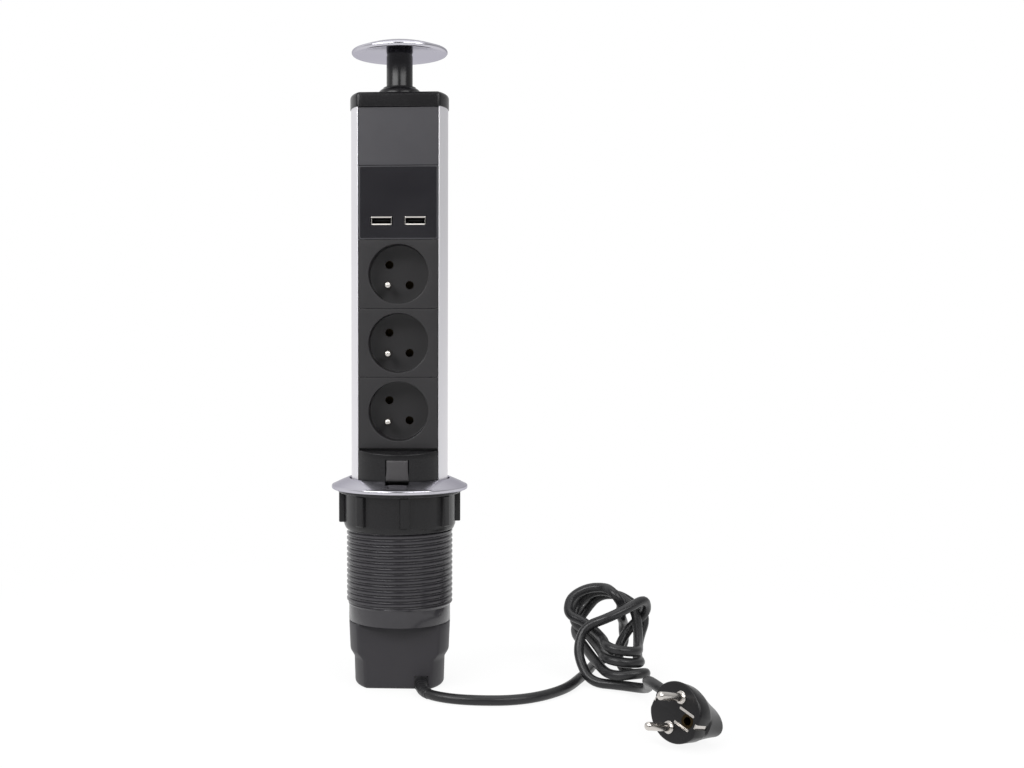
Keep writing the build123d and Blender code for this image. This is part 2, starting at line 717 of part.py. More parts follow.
# Clamp nut: a round body with a bevelled foot and wings to turn it by
with BuildPart() as clamp_nut:
    with BuildSketch(Plane.XZ):
        with BuildLine():
            Polyline(
                (nut_bore_radius, nut_bottom_z),
                (nut_foot_radius, nut_bottom_z),
                (nut_core_radius, nut_bottom_z + nut_foot_height),
                (nut_core_radius, nut_top_z),
                (nut_bore_radius, nut_top_z),
                close=True,
            )
        make_face()
    revolve(axis=Axis.Z)
    with BuildSketch(Plane.XY.offset(nut_top_z - wing_height)):
        wing_inner = (nut_bore_radius + nut_core_radius) / 2
        with PolarLocations((wing_inner + wing_radius) / 2, wing_count, start_angle=wing_angle - 90):
            Rectangle(wing_radius - wing_inner, wing_width)
        Circle(wing_radius, mode=Mode.INTERSECT)
    extrude(amount=wing_height)
clamp_nut.part.label = "clamp_nut"
export_step(clamp_nut.part, "parts/clamp_nut.step")


# Base cup: a D-shaped cup round the foot of the column, stepped in below, with the cord's outlet
with BuildPart() as base_cup:
    levels = (
        (0.0, base_bottom_radius),
        (base_step_bottom_z, base_lower_radius),
        (base_step_top_z, base_upper_bottom_radius),
        (base_top_z, base_upper_top_radius),
    )
    for (low_z, low_radius), (high_z, high_radius) in zip(levels, levels[1:]):
        with BuildSketch(Plane.XY.offset(low_z)) as low_sketch:
            Circle(low_radius)
            cut_front(low_sketch, low_radius, base_flat, base_corner)
        with BuildSketch(Plane.XY.offset(high_z)) as high_sketch:
            Circle(high_radius)
            cut_front(high_sketch, high_radius, base_flat, base_corner)
        loft(ruled=True)
    fillet(base_cup.faces().sort_by(Axis.Z)[0].edges(), base_edge)
    with BuildSketch(Plane.XY.offset(base_floor)) as lower_hollow:
        Circle(base_bottom_radius - base_wall)
        cut_front(lower_hollow, base_bottom_radius, base_flat - base_wall, 0)
        with Locations(*port_places()):
            Circle(screw_port_radius, mode=Mode.SUBTRACT)
    extrude(amount=base_top_z - base_floor, mode=Mode.SUBTRACT)
    with BuildSketch(Plane.XY.offset(base_step_top_z)) as upper_hollow:
        Circle(column_radius + base_fit)
        cut_front(upper_hollow, column_radius, base_flat - base_wall, 0)
    extrude(amount=base_top_z - base_step_top_z, mode=Mode.SUBTRACT)
    with BuildSketch(Plane.XY):
        with Locations(*port_places()):
            Circle(screw_port_hole)
    extrude(amount=base_step_top_z, mode=Mode.SUBTRACT)
    with BuildSketch(front_plane(-base_flat)):
        with Locations((outlet_x, 0)):
            Rectangle(outlet_width, outlet_height, align=(Align.CENTER, Align.MIN))
    extrude(amount=-outlet_depth, mode=Mode.SUBTRACT)
base_cup.part.label = "base_cup"
export_step(base_cup.part, "parts/base_cup.step")

# Grommet: fills the outlet, with a round nose that the cord comes out of
nose_y = -base_flat - grommet_nose
with BuildPart() as cord_grommet:
    with BuildSketch(front_plane(-base_flat)):
        with Locations((outlet_x, grommet_gap)):
            Rectangle(outlet_width - 2 * grommet_gap, outlet_height - 2 * grommet_gap,
                      align=(Align.CENTER, Align.MIN))
    extrude(amount=-(outlet_depth - grommet_gap))
    with BuildSketch(front_plane(-base_flat)):
        with Locations((outlet_x, outlet_cord_z)):
            Circle(grommet_nose_radius)
    extrude(amount=grommet_nose)
cord_grommet.part.label = "cord_grommet"
export_step(cord_grommet.part, "parts/cord_grommet.step")


def rounded_route(points):
    """Radii for a route of straight runs: each arc takes 0.45 of its shorter run. Prints the least."""
    radii = []
    for before, here, after in zip(points, points[1:], points[2:]):
        incoming = Vector(*here) - Vector(*before)
        outgoing = Vector(*after) - Vector(*here)
        turn = radians(incoming.get_angle(outgoing))
        radii.append(0.45 * min(incoming.length, outgoing.length) / tan(turn / 2))
    print("cord arc radii", [round(radius, 1) for radius in radii])
    return radii


def cord_tube(name, points):
    """A round tube along straight runs joined by tangent arcs. Returns its centre line."""
    with BuildPart() as tube:
        with BuildLine() as route:
            FilletPolyline(*points, radius=rounded_route(points))
        start = Vector(*points[0])
        with BuildSketch(Plane(origin=start, z_dir=Vector(*points[1]) - start)):
            Circle(cord_radius)
        sweep()
    tube.part.label = name
    export_step(tube.part, f"parts/{name}.step")
    line = route.wires()[0]
    print(name, "length", round(line.length, 1), "volume over section times length",
          round(tube.part.volume / (pi * cord_radius**2 * line.length), 4))
    return line


# Hank: turns that stand up on their folds, wound as one unbroken cord. Each turn goes through six places,
# which move by a step from turn to turn, and the last turn is folded down in front of the others
hank_corners = (hank_top, hank_left, hank_waist, hank_near, hank_right, hank_shoulder)


def hank_place(count):
    """Where the hank's centre line is after so many sixths of a turn."""
    first, step, fold = hank_corners[count % len(hank_corners)]
    turn = count / len(hank_corners)
    share = min(1.0, max(0.0, (turn - hank_fold_turn) / hank_fold_span))
    return Vector(*first) + Vector(*step) * turn + Vector(*fold) * (share**2 * (3 - 2 * share))


def heading(before, here, after):
    """Direction at a place of the circle through it and its two neighbours."""
    back = here - before
    ahead = after - here
    return (back * (1 / back.length**2) + ahead * (1 / ahead.length**2)).normalized()


def biarc(start, start_direction, end, end_direction):
    """Two arcs that run smoothly from one place and direction to another."""
    chord = end - start
    both = chord.dot(start_direction + end_direction)
    spread = 2 * (1 - start_direction.dot(end_direction))
    reach = chord.dot(chord) / (both + sqrt(both**2 + spread * chord.dot(chord)))
    first_reach = start + start_direction * reach
    second_reach = end - end_direction * reach
    joint = (first_reach + second_reach) * 0.5
    TangentArc(start, joint, tangent=start_direction)
    TangentArc(joint, end, tangent=second_reach - first_reach)


hank_route = [Vector(*place) for place in hank_lead]
hank_route += [hank_place(count) for count in range(-1, hank_sixths)]
hank_headings = [Vector(*hank_entry_direction).normalized()]
hank_headings += [heading(*places) for places in zip(hank_route, hank_route[1:], hank_route[2:])]
hank_headings += [Vector(*hank_exit_direction).normalized()]
hank_start = hank_route[0]
hank_end = hank_route[-1]
with BuildPart() as cord_hank:
    with BuildLine() as hank_line:
        stations = list(zip(hank_route, hank_headings))
        for (here, direction), (there, next_direction) in zip(stations, stations[1:]):
            biarc(here, direction, there, next_direction)
    with BuildSketch(Plane(origin=hank_start, z_dir=hank_headings[0])):
        Circle(cord_radius)
    sweep()
cord_hank.part.label = "cord_hank"
export_step(cord_hank.part, "parts/cord_hank.step")
hank_wire = hank_line.wires()[0]
print("cord_hank length", round(hank_wire.length, 1), "volume over section times length",
      round(cord_hank.part.volume / (pi * cord_radius**2 * hank_wire.length), 4))
print("hank arc radii", sorted(round(edge.radius, 1) for edge in hank_line.edges())[:12])

# Plug: a round face with two pins and an earth contact, a tapered body, and a boot for the cord
pin_direction = Vector(*plug_pin_direction).normalized()
line_direction = Vector(*plug_line_direction)
line_direction = (line_direction - pin_direction * line_direction.dot(pin_direction)).normalized()
plug_plane = Plane(origin=plug_face_centre, x_dir=line_direction, z_dir=pin_direction)
boot_axis = Vector(*boot_direction).normalized()
boot_root = plug_plane.from_local_coords(Vector(0, -boot_inset, -boot_depth))
boot_tip = boot_root + boot_axis * boot_length

with BuildPart() as plug_body:
    with BuildSketch(plug_plane):
        Circle(plug_radius)
        Rectangle(2 * plug_radius, 2 * plug_flat, mode=Mode.INTERSECT)
    extrude(amount=-plug_rim_depth)
    with BuildSketch(plug_plane.offset(-plug_rim_depth)):
        Ellipse(plug_radius - 2, plug_flat - 0.6)
    with BuildSketch(plug_plane.offset(-plug_body_depth)):
        Ellipse(plug_back_width / 2, plug_back_length / 2)
    loft()
    with BuildSketch(plug_plane):
        with Locations((0, plug_earth_offset)):
            Circle(plug_earth_radius)
    extrude(amount=-plug_earth_depth, mode=Mode.SUBTRACT)
    with BuildSketch(plug_plane):
        with Locations((0, plug_flat), (0, -plug_flat)):
            Rectangle(plug_strip_width, 2 * plug_groove_depth)
    extrude(amount=-plug_strip_length, mode=Mode.SUBTRACT)
    with BuildSketch(plug_plane.offset(-plug_pin_seat)):
        with Locations((-pin_spacing / 2, 0), (pin_spacing / 2, 0)):
            Circle(plug_pin_radius)
    extrude(amount=plug_pin_seat, mode=Mode.SUBTRACT)
with BuildPart() as plug_boot:
    with BuildSketch(Plane(origin=boot_root, z_dir=boot_axis)):
        Circle(boot_root_radius)
    with BuildSketch(Plane(origin=boot_tip, z_dir=boot_axis)):
        Circle(boot_tip_radius)
    loft(ruled=True)
    add(plug_body.part, mode=Mode.SUBTRACT)
plug_boot.part.label = "plug_boot"
export_step(plug_boot.part, "parts/plug_boot.step")
plug_body.part.label = "plug_body"
export_step(plug_body.part, "parts/plug_body.step")

for number, side in enumerate((-1, 1), start=1):
    with BuildPart() as plug_pin:
        with BuildSketch(plug_plane.offset(-plug_pin_seat)):
            with Locations((side * pin_spacing / 2, 0)):
                Circle(plug_pin_radius)
        extrude(amount=plug_pin_seat + plug_pin_length)
        tip = plug_pin.faces().sort_by(lambda face: face.center().dot(pin_direction))[-1]
        fillet(tip.edges(), 0.7 * plug_pin_radius)
        with BuildSketch(plug_plane):
            with Locations((side * pin_spacing / 2, 0)):
                Circle(plug_collar_radius)
        extrude(amount=plug_collar_height)
    plug_pin.part.label = f"plug_pin_{number}"
    export_step(plug_pin.part, f"parts/plug_pin_{number}.step")

    with BuildPart() as plug_strip:
        with BuildSketch(plug_plane.offset(-plug_strip_length)):
            with Locations((0, side * (plug_flat - plug_groove_depth + plug_strip_thickness / 2))):
                Rectangle(plug_strip_width, plug_strip_thickness)
        extrude(amount=plug_strip_length)
    plug_strip.part.label = f"plug_earth_strip_{number}"
    export_step(plug_strip.part, f"parts/plug_earth_strip_{number}.step")


# Free cord: from the grommet along the floor into the hank, and from the hank's last turn to the boot
floor_z = cord_radius + cord_lift
cord_points = [
    (outlet_x, nose_y, outlet_cord_z),
    (outlet_x, nose_y - outlet_run, outlet_cord_z),
    (outlet_x + outlet_turn[0], nose_y + outlet_turn[1], floor_z),
    (28.0, -49.4, floor_z),
    (41.0, -54.8, floor_z),
    (57.6, -56.3, floor_z),
    (72.7, -54.9, floor_z),
    (86.6, -48.8, floor_z),
    (99.3, -38.3, floor_z),
    (111.8, -21.8, floor_z),
    (121.6, 2.5, floor_z),
    (129.5, 24.5, floor_z),
    tuple(hank_start - hank_headings[0] * 9.0),
    tuple(hank_start),
]
mains_cord_line = cord_tube("mains_cord", cord_points)

tail_points = [
    tuple(hank_end),
    tuple(hank_end + hank_headings[-1] * 11.0),
    (161.0, -45.0, 10.5),
    (158.8, -60.0, 17.0),
    (155.8, -75.0, 22.8),
    tuple(boot_tip + boot_axis * 12.0),
    tuple(boot_tip),
]
tail_line = cord_tube("cord_tail", tail_points)


def sampled(wire, step):
    """Places along a wire, evenly spaced."""
    count = int(wire.length / step)
    return [wire @ (i / count) for i in range(count + 1)]


def least_gap(points, others, skip):
    """Least distance between places of two centre lines, or of one with more than skip steps between them."""
    best = 1e9
    for i, here in enumerate(points):
        for there in (points[i + skip:] if others is None else others):
            best = min(best, (here - there).length)
    return best


# Gaps of the cord to itself, leaving out its own neighbourhood on either side of a joint between nodes
sample = 2.5
hank_places = sampled(hank_wire, sample)
near_joint = int(24 / sample)
mains_places = sampled(mains_cord_line, sample)[:-near_joint]
tail_places = sampled(tail_line, sample)[near_joint:]
print("hank least gap to itself", round(least_gap(hank_places, None, near_joint) - cord_diameter, 2))
print("mains_cord least gap to the hank", round(least_gap(mains_places, hank_places, 0) - cord_diameter, 2))
print("cord_tail least gap to the hank", round(least_gap(tail_places, hank_places, 0) - cord_diameter, 2))
total = mains_cord_line.length + hank_wire.length + tail_line.length
print("whole cord", round(total, 1))
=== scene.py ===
"""Pop-up socket tower, dressed: each visible piece is a surface from a formula, with its own finish.

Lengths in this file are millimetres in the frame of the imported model, unless a name ends in _m. The column's
axis is x = y = 0, the floor is z = 0 and the sockets face -Y.
"""

import json
from math import atan2, cos, pi, radians, sin, sqrt, tau

import bmesh
import bpy
import numpy as np
from bpy.props import FloatProperty, FloatVectorProperty, IntProperty, PointerProperty
from bpy.types import Operator, Panel, PropertyGroup
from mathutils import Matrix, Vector
from mathutils.geometry import delaunay_2d_cdt


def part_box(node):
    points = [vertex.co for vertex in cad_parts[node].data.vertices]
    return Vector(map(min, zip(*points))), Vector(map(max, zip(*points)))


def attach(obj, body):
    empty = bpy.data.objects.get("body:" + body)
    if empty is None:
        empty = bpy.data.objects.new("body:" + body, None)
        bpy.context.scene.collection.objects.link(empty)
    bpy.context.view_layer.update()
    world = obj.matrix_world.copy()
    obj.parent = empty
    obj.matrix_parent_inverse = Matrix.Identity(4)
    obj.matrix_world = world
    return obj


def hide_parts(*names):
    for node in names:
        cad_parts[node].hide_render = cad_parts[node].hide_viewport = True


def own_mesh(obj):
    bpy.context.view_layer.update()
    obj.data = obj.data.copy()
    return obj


bl_info = {
    "name": "Socket Tower",
    "version": (1, 0, 0),
    "blender": (4, 5, 0),
    "location": "View3D > Sidebar > Tower",
    "description": "Builds the dressed pieces of a pop-up socket tower round its packed frame",
    "category": "Object",
}

MM = 0.001
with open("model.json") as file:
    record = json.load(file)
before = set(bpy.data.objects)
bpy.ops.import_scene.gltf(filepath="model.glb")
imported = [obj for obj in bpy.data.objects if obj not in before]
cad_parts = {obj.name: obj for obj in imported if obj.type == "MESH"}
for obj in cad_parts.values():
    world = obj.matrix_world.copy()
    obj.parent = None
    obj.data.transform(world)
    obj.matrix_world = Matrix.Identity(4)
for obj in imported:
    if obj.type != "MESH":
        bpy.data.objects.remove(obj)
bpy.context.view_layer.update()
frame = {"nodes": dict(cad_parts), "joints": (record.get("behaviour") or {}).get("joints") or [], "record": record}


def span(node):
    """Lowest and highest corner of a CAD node, in millimetres."""
    low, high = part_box(node)
    return np.array(low) / MM, np.array(high) / MM


def front_view(node):
    """A CAD node seen from the front: its middle in x and z, and half its width and height."""
    low, high = span(node)
    return ((low + high) / 2)[[0, 2]], ((high - low) / 2)[[0, 2]]


# Places read from the frame
column_low, column_high = span("column_extrusion")
column_radius = column_high[0]
lip_y = column_low[1]
plate_low, plate_high = span("blank_panel")
face_y, plate_back_y = plate_low[1], plate_high[1]
# The dressed plates reach a little further out than the frame's, up to thinner lips
plate_half_width = plate_high[0] + 0.5
cap_foot = column_high[2] - 2.0
SOCKETS = (1, 2, 3)
PORTS = (1, 2)

# Sizes that two or more pieces share, in millimetres
STEM_RADIUS, STEM_BORE = 8.65, 8.72
KNOB_HOLLOW = 0.5
THREAD_CREST, THREAD_GAP = 35.5, 0.08


class TowerSizes(PropertyGroup):
    """Sizes of the detail that the frame leaves to the dressed model, in millimetres."""

    lip_round: FloatProperty(name="Lip rounding", description="Radius on the column's two front lips",
                             default=0.2, min=0.05, max=0.3)
    plate_round: FloatProperty(name="Plate rounding", description="Radius on the front edges of the plates",
                               default=0.3, min=0.1, max=1.0)
    recess_round: FloatProperty(name="Recess rounding", description="Radius on the rim of a socket's recess",
                                default=0.7, min=0.1, max=1.5)
    thread_pitch: FloatProperty(name="Thread pitch", description="Rise of the sleeve's thread in one turn",
                                default=3.7, min=2.0, max=6.0)
    thread_depth: FloatProperty(name="Thread depth", description="Height of the thread's ridge",
                                default=1.45, min=0.3, max=2.0)
    wing_count: IntProperty(name="Nut wings", description="Wings on the clamp nut", default=8, min=3, max=16)
    cord_diameter: FloatProperty(name="Cord diameter", description="Outside of the mains cord's sheath",
                                 default=6.6, min=4.0, max=9.0)
    lamp_power: FloatProperty(name="Lamp power", description="Power of the left lamp, in watts",
                              default=26.0, min=0.0, max=60.0)


class TowerColours(PropertyGroup):
    """Base colours of the finishes, as linear red, green and blue."""

    silver: FloatVectorProperty(name="Anodised silver", description="Column extrusion", subtype="COLOR",
                                default=(0.80, 0.79, 0.82), min=0, max=1)
    satin: FloatVectorProperty(name="Satin metal", description="Knob and flange ring", subtype="COLOR",
                               default=(0.56, 0.55, 0.60), min=0, max=1)
    moulding: FloatVectorProperty(name="Black moulding", description="Cap, stem, latch, nut and plug",
                                  subtype="COLOR", default=(0.0075, 0.0072, 0.008), min=0, max=1)
    panel: FloatVectorProperty(name="Panel grey", description="Blank panel and plate edges", subtype="COLOR",
                               default=(0.041, 0.040, 0.0445), min=0, max=1)
    label: FloatVectorProperty(name="Label", description="Glossy label of the charging module",
                               subtype="COLOR", default=(0.008, 0.0075, 0.010), min=0, max=1)
    socket: FloatVectorProperty(name="Socket black", description="Socket bodies", subtype="COLOR",
                                default=(0.019, 0.0182, 0.0195), min=0, max=1)
    tab: FloatVectorProperty(name="Tab grey", description="Release tab", subtype="COLOR",
                             default=(0.045, 0.043, 0.045), min=0, max=1)
    sleeve: FloatVectorProperty(name="Sleeve black", description="Threaded sleeve and base cup",
                                subtype="COLOR", default=(0.026, 0.0245, 0.028), min=0, max=1)
    rubber: FloatVectorProperty(name="Cord black", description="Cord, boot and grommet", subtype="COLOR",
                                default=(0.010, 0.010, 0.011), min=0, max=1)
    nickel: FloatVectorProperty(name="Bright nickel", description="Pins, shells and contacts",
                                subtype="COLOR", default=(0.64, 0.61, 0.58), min=0, max=1)
    # Far darker than real brass: painted shade, so that contacts deep in the socket holes and the plug's earth
    # hole read black
    brass: FloatVectorProperty(name="Contact brass", description="Busbars, earth strip and contacts",
                               subtype="COLOR", default=(0.030, 0.021, 0.010), min=0, max=1)


def sizes():
    """The sizes as they stand in the scene."""
    return bpy.context.scene.tower_sizes


def colour(name):
    """A finish's colour as it stands in the scene, with full alpha."""
    return (*getattr(bpy.context.scene.tower_colours, name), 1.0)


# Shader expressions


class Signal:
    """An output of a shader node. Arithmetic on it adds Math nodes to its finish."""

    def __init__(self, finish, socket):
        self.finish = finish
        self.socket = socket

    def maths(self, operation, first, second):
        return self.finish.node("ShaderNodeMath", {"operation": operation}, {0: first, 1: second})

    def __add__(self, other):
        return self.maths("ADD", self, other)

    def __sub__(self, other):
        return self.maths("SUBTRACT", self, other)

    def __rsub__(self, other):
        return self.maths("SUBTRACT", other, self)

    def __mul__(self, other):
        return self.maths("MULTIPLY", self, other)

    __radd__ = __add__
    __rmul__ = __mul__

    def output(self, name):
        """Another output of the same node."""
        return Signal(self.finish, self.socket.node.outputs[name])

    def axis(self, name):
        """One component of a vector."""
        parts = self.finish.node("ShaderNodeSeparateXYZ", {}, {"Vector": self})
        return parts.output(name)


class Finish:
    """A material's node tree, built from expressions and ended with a Principled shader."""

    def __init__(self, name, owner=None):
        self.material = owner or bpy.data.materials.new("tower_" + name)
        self.material.use_nodes = True
        self.tree = self.material.node_tree
        self.tree.nodes.clear()

    def node(self, kind, settings, values):
        """Add a node: its settings first, then the value or the link of each named socket."""
        added = self.tree.nodes.new(kind)
        for name, value in settings.items():
            setattr(added, name, value)
        for name, value in values.items():
            if isinstance(value, Signal):
                self.tree.links.new(value.socket, added.inputs[name])
            else:
                added.inputs[name].default_value = value
        return Signal(self, next(socket for socket in added.outputs if socket.enabled))

    def place(self, scale=(1.0, 1.0, 1.0)):
        """Object coordinates in metres, stretched by a scale along each axis."""
        where = self.node("ShaderNodeTexCoord", {}, {}).output("Object")
        return self.node("ShaderNodeMapping", {"vector_type": "POINT"}, {"Vector": where, "Scale": scale})

    def noise(self, where, scale, detail=2.0, roughness=0.5):
        """Soft noise between 0 and 1, with scale cells in a metre."""
        return self.node("ShaderNodeTexNoise", {"noise_dimensions": "3D"},
                         {"Vector": where, "Scale": scale, "Detail": detail, "Roughness": roughness})

    def ramp(self, value, low, high):
        """0 below low, 1 above high and straight in between."""
        return self.node("ShaderNodeMapRange", {"clamp": True},
                         {"Value": value, "From Min": low, "From Max": high, "To Min": 0.0, "To Max": 1.0})

    def mix(self, share, first, second):
        """Blend of two colours."""
        settings = {"data_type": "RGBA"}
        return self.node("ShaderNodeMix", settings, {0: share, 6: first, 7: second})

    def bump(self, height, depth):
        """Normal of a surface whose height varies by depth metres."""
        return self.node("ShaderNodeBump", {}, {"Height": height, "Distance": depth, "Strength": 1.0})

    def close(self, **inputs):
        """End the tree with a Principled shader. Underscores in names stand for spaces."""
        values = {name.replace("_", " "): value for name, value in inputs.items()}
        self.end(self.node("ShaderNodeBsdfPrincipled", {}, values))
        return self.material

    def end(self, shader, kind="ShaderNodeOutputMaterial"):
        """Join a shader to the tree's output."""
        output = self.tree.nodes.new(kind)
        self.tree.links.new(shader.socket, output.inputs["Surface"])


def times(shade, factor):
    """A colour made darker or lighter by a factor."""
    return (*(min(1.0, part * factor) for part in shade[:3]), 1.0)


def moulded(name, shade, gloss, shine=0.3, grain=3200.0, depth=0.000008, drift=0.12):
    """Moulded plastic: a fine spark texture in the bump, and a slow drift in shade and gloss."""
    made = Finish(name)
    slow = made.noise(made.place(), 28.0, 3.0)
    fine = made.noise(made.place(), grain, 2.0, 0.6)
    base = made.mix(slow, times(shade, 1 - drift), times(shade, 1 + drift))
    rough = gloss + (slow - 0.5) * 0.12 + (fine - 0.5) * 0.08
    return made.close(Base_Color=base, Roughness=rough, Specular_IOR_Level=shine,
                      Normal=made.bump(fine, depth))


def anodised():
    """Anodised extrusion: fine upright die lines in shade, gloss and bump."""
    made = Finish("anodised_silver")
    lines = made.noise(made.place((1.0, 1.0, 0.012)), 2600.0, 3.0, 0.7)
    slow = made.noise(made.place((1.0, 1.0, 0.3)), 60.0, 2.0)
    base = made.mix(lines, times(colour("silver"), 0.94), times(colour("silver"), 1.03))
    rough = 0.36 + lines * 0.10 + slow * 0.05
    return made.close(Base_Color=base, Metallic=1.0, Roughness=rough, Normal=made.bump(lines, 0.000006))


def turned(name, shade, gloss, rings=2400.0):
    """Satin metal turned on a lathe: fine rings round the axis over a blasted grain."""
    made = Finish(name)
    where = made.place()
    flat = made.node("ShaderNodeCombineXYZ", {}, {"X": where.axis("X"), "Y": where.axis("Y"), "Z": 0.0})
    radius = made.node("ShaderNodeVectorMath", {"operation": "LENGTH"}, {0: flat})
    radius = Signal(made, radius.socket.node.outputs["Value"])
    line = made.node("ShaderNodeTexNoise", {"noise_dimensions": "1D"},
                     {"W": radius, "Scale": rings, "Detail": 2.0})
    grain = made.noise(where, 2200.0, 2.0)
    base = made.mix(grain, times(shade, 0.95), times(shade, 1.04))
    rough = gloss + (line - 0.5) * 0.06 + (grain - 0.5) * 0.06
    return made.close(Base_Color=base, Metallic=1.0, Roughness=rough, Specular_Tint=(0.66, 0.65, 0.70, 1.0),
                      Normal=made.bump(line + grain, 0.000003))


def plated(name, shade, gloss):
    """Plated metal: smooth, with faint rubbing marks and a slow drift in shade."""
    made = Finish(name)
    slow = made.noise(made.place(), 260.0, 3.0)
    marks = made.noise(made.place((1.0, 0.08, 1.0)), 3000.0, 2.0)
    base = made.mix(slow, times(shade, 0.86), times(shade, 1.06))
    rough = gloss + slow * 0.10 + marks * 0.06
    return made.close(Base_Color=base, Metallic=1.0, Roughness=rough, Normal=made.bump(marks, 0.000003))


def sheathed(name, shade):
    """Soft plastic sheath: a satin skin with a faint orange-peel and dusty patches."""
    made = Finish(name)
    peel = made.noise(made.place(), 900.0, 2.0)
    dust = made.ramp(made.noise(made.place(), 70.0, 4.0, 0.6), 0.45, 0.8)
    base = made.mix(dust * 0.5, shade, times(shade, 1.8))
    rough = 0.34 + dust * 0.10 + (peel - 0.5) * 0.06
    return made.close(Base_Color=base, Roughness=rough, Specular_IOR_Level=0.4,
                      Normal=made.bump(peel, 0.000012))


def printed_label():
    """Glossy printed foil: near black, with faint specks under a clear coat."""
    made = Finish("label_gloss")
    slow = made.noise(made.place(), 40.0, 2.0)
    specks = made.ramp(made.noise(made.place(), 1400.0, 1.0), 0.70, 0.78)
    base = made.mix(slow, times(colour("label"), 0.8), times(colour("label"), 1.2))
    base = made.mix(specks * 0.4, base, times(colour("label"), 3.0))
    rough = 0.22 + slow * 0.08
    return made.close(Base_Color=base, Roughness=rough, Coat_Weight=0.2, Coat_Roughness=0.12)


def board():
    """Circuit board: green solder mask over faint straight tracks."""
    made = Finish("board_green")
    tracks = made.ramp(made.noise(made.place((1.0, 1.0, 0.1)), 900.0, 0.0), 0.48, 0.52)
    base = made.mix(tracks, (0.010, 0.050, 0.018, 1.0), (0.020, 0.085, 0.030, 1.0))
    return made.close(Base_Color=base, Roughness=0.30 + tracks * 0.05, Normal=made.bump(tracks, 0.00003))


FINISHES = {
    "anodised_silver": anodised,
    "satin_metal": lambda: turned("satin_metal", colour("satin"), 0.18),
    "black_moulding": lambda: moulded("black_moulding", colour("moulding"), 0.27, 0.30),
    "panel_grey": lambda: moulded("panel_grey", colour("panel"), 0.46),
    "label_gloss": printed_label,
    "socket_black": lambda: moulded("socket_black", colour("socket"), 0.44),
    "tab_grey": lambda: moulded("tab_grey", colour("tab"), 0.50),
    "sleeve_black": lambda: moulded("sleeve_black", colour("sleeve"), 0.20, 0.45),
    "base_black": lambda: moulded("base_black", colour("sleeve"), 0.46),
    "black_rubber": lambda: sheathed("black_rubber", colour("rubber")),
    "cord_black": lambda: sheathed("cord_black", colour("rubber")),
    "plug_black": lambda: moulded("plug_black", colour("moulding"), 0.30, 0.26),
    "bright_nickel": lambda: plated("bright_nickel", colour("nickel"), 0.17),
    # Brass darkened as painted shade for contacts that sit in holes
    "contact_brass": lambda: plated("contact_brass", colour("brass"), 0.42),
    # Near black: on the port liners it is painted shade in the mouths, and the tongues take the same near black
    "tongue_white": lambda: moulded("tongue_white", (0.010, 0.010, 0.010, 1.0), 0.40),
    "board_green": board,
}


def material(slot):
    """The finish of a slot, made once. Its name starts with tower, so that it isn't the frame's own."""
    return bpy.data.materials.get("tower_" + slot) or FINISHES[slot]()


# Shapes


def arc(centre, radius, start, stop, steps):
    """Points on a circle: centre + radius (cos t, sin t), with t from start to stop in degrees."""
    t = np.radians(np.linspace(start, stop, steps))
    return np.stack([centre[0] + radius * np.cos(t), centre[1] + radius * np.sin(t)], axis=1)


def quarter(radius, inset, height, turn, steps=5):
    """A rounded edge as pairs of inset and height. It starts upright at (inset, height) and turns inward;
    turn 1 rises and turn -1 falls, so inset = i + r (1 - cos t) and height = h + r sin t turn."""
    t = np.linspace(0, pi / 2, steps)
    return [(inset + radius * (1 - cos(a)), height + turn * radius * sin(a)) for a in t]


def rounded_box(half_width, half_height, corner, along=12, steps=4):
    """Closed outline of a rectangle with round corners, counterclockwise, its sides cut into equal runs."""
    points = []
    reach_u, reach_v = half_width - corner, half_height - corner
    for turn in range(4):
        u = reach_u if turn in (0, 3) else -reach_u
        v = reach_v if turn < 2 else -reach_v
        points.append(arc((u, v), corner, 90 * turn, 90 * turn + 90, steps))
        here = points[-1][-1]
        next_u = -u if turn in (0, 2) else u
        next_v = v if turn in (0, 2) else -v
        there = arc((next_u, next_v), corner, 90 * turn + 90, 90 * turn + 91, 2)[0]
        points.append(here + (there - here) * (np.arange(1, along) / along)[:, None])
    return np.concatenate(points)


def round_d(radius, flat, corner, around=96, steps=7, along=24):
    """Closed outline of a circle cut off at y = -flat, its two corners rounded, counterclockwise from the
    right corner. A corner's centre is at x = sqrt((R - c)^2 - (f - c)^2) and y = c - f."""
    centre_x = sqrt((radius - corner) ** 2 - (flat - corner) ** 2)
    turn = np.degrees(atan2(corner - flat, centre_x))
    back = arc((0, 0), radius, turn, 180 - turn, around)
    left = arc((-centre_x, corner - flat), corner, 180 - turn, 270, steps)[1:]
    front = np.stack([np.linspace(-centre_x, centre_x, along + 1), np.full(along + 1, -flat)], axis=1)[1:-1]
    right = arc((centre_x, corner - flat), corner, 270, 360 + turn, steps)[:-1]
    return np.concatenate([back, left, front, right])


def level(outline, height):
    """A flat outline raised to a height."""
    return np.column_stack([outline, np.full(len(outline), height)])


def facing(outline, depth, centre=(0.0, 0.0)):
    """An outline in x and z, seen from the front, placed at a depth behind the faces."""
    return np.column_stack([outline[:, 0] + centre[0], np.full(len(outline), face_y + depth),
                            outline[:, 1] + centre[1]])


def quads(rows, columns, wrap_rows=False):
    """Faces between neighbouring rows of a grid whose columns close on themselves."""
    row = np.arange(rows if wrap_rows else rows - 1)[:, None]
    column = np.arange(columns)[None, :]
    after_row, after_column = (row + 1) % rows, (column + 1) % columns
    corners = [row * columns + column, row * columns + after_column,
               after_row * columns + after_column, after_row * columns + column]
    return np.stack(np.broadcast_arrays(*corners), axis=-1).reshape(-1, 4)


def patches(index):
    """Faces between neighbouring points of an open grid, from the numbers of its points."""
    corners = [index[:-1, :-1], index[:-1, 1:], index[1:, 1:], index[1:, :-1]]
    return np.stack(corners, axis=-1).reshape(-1, 4)


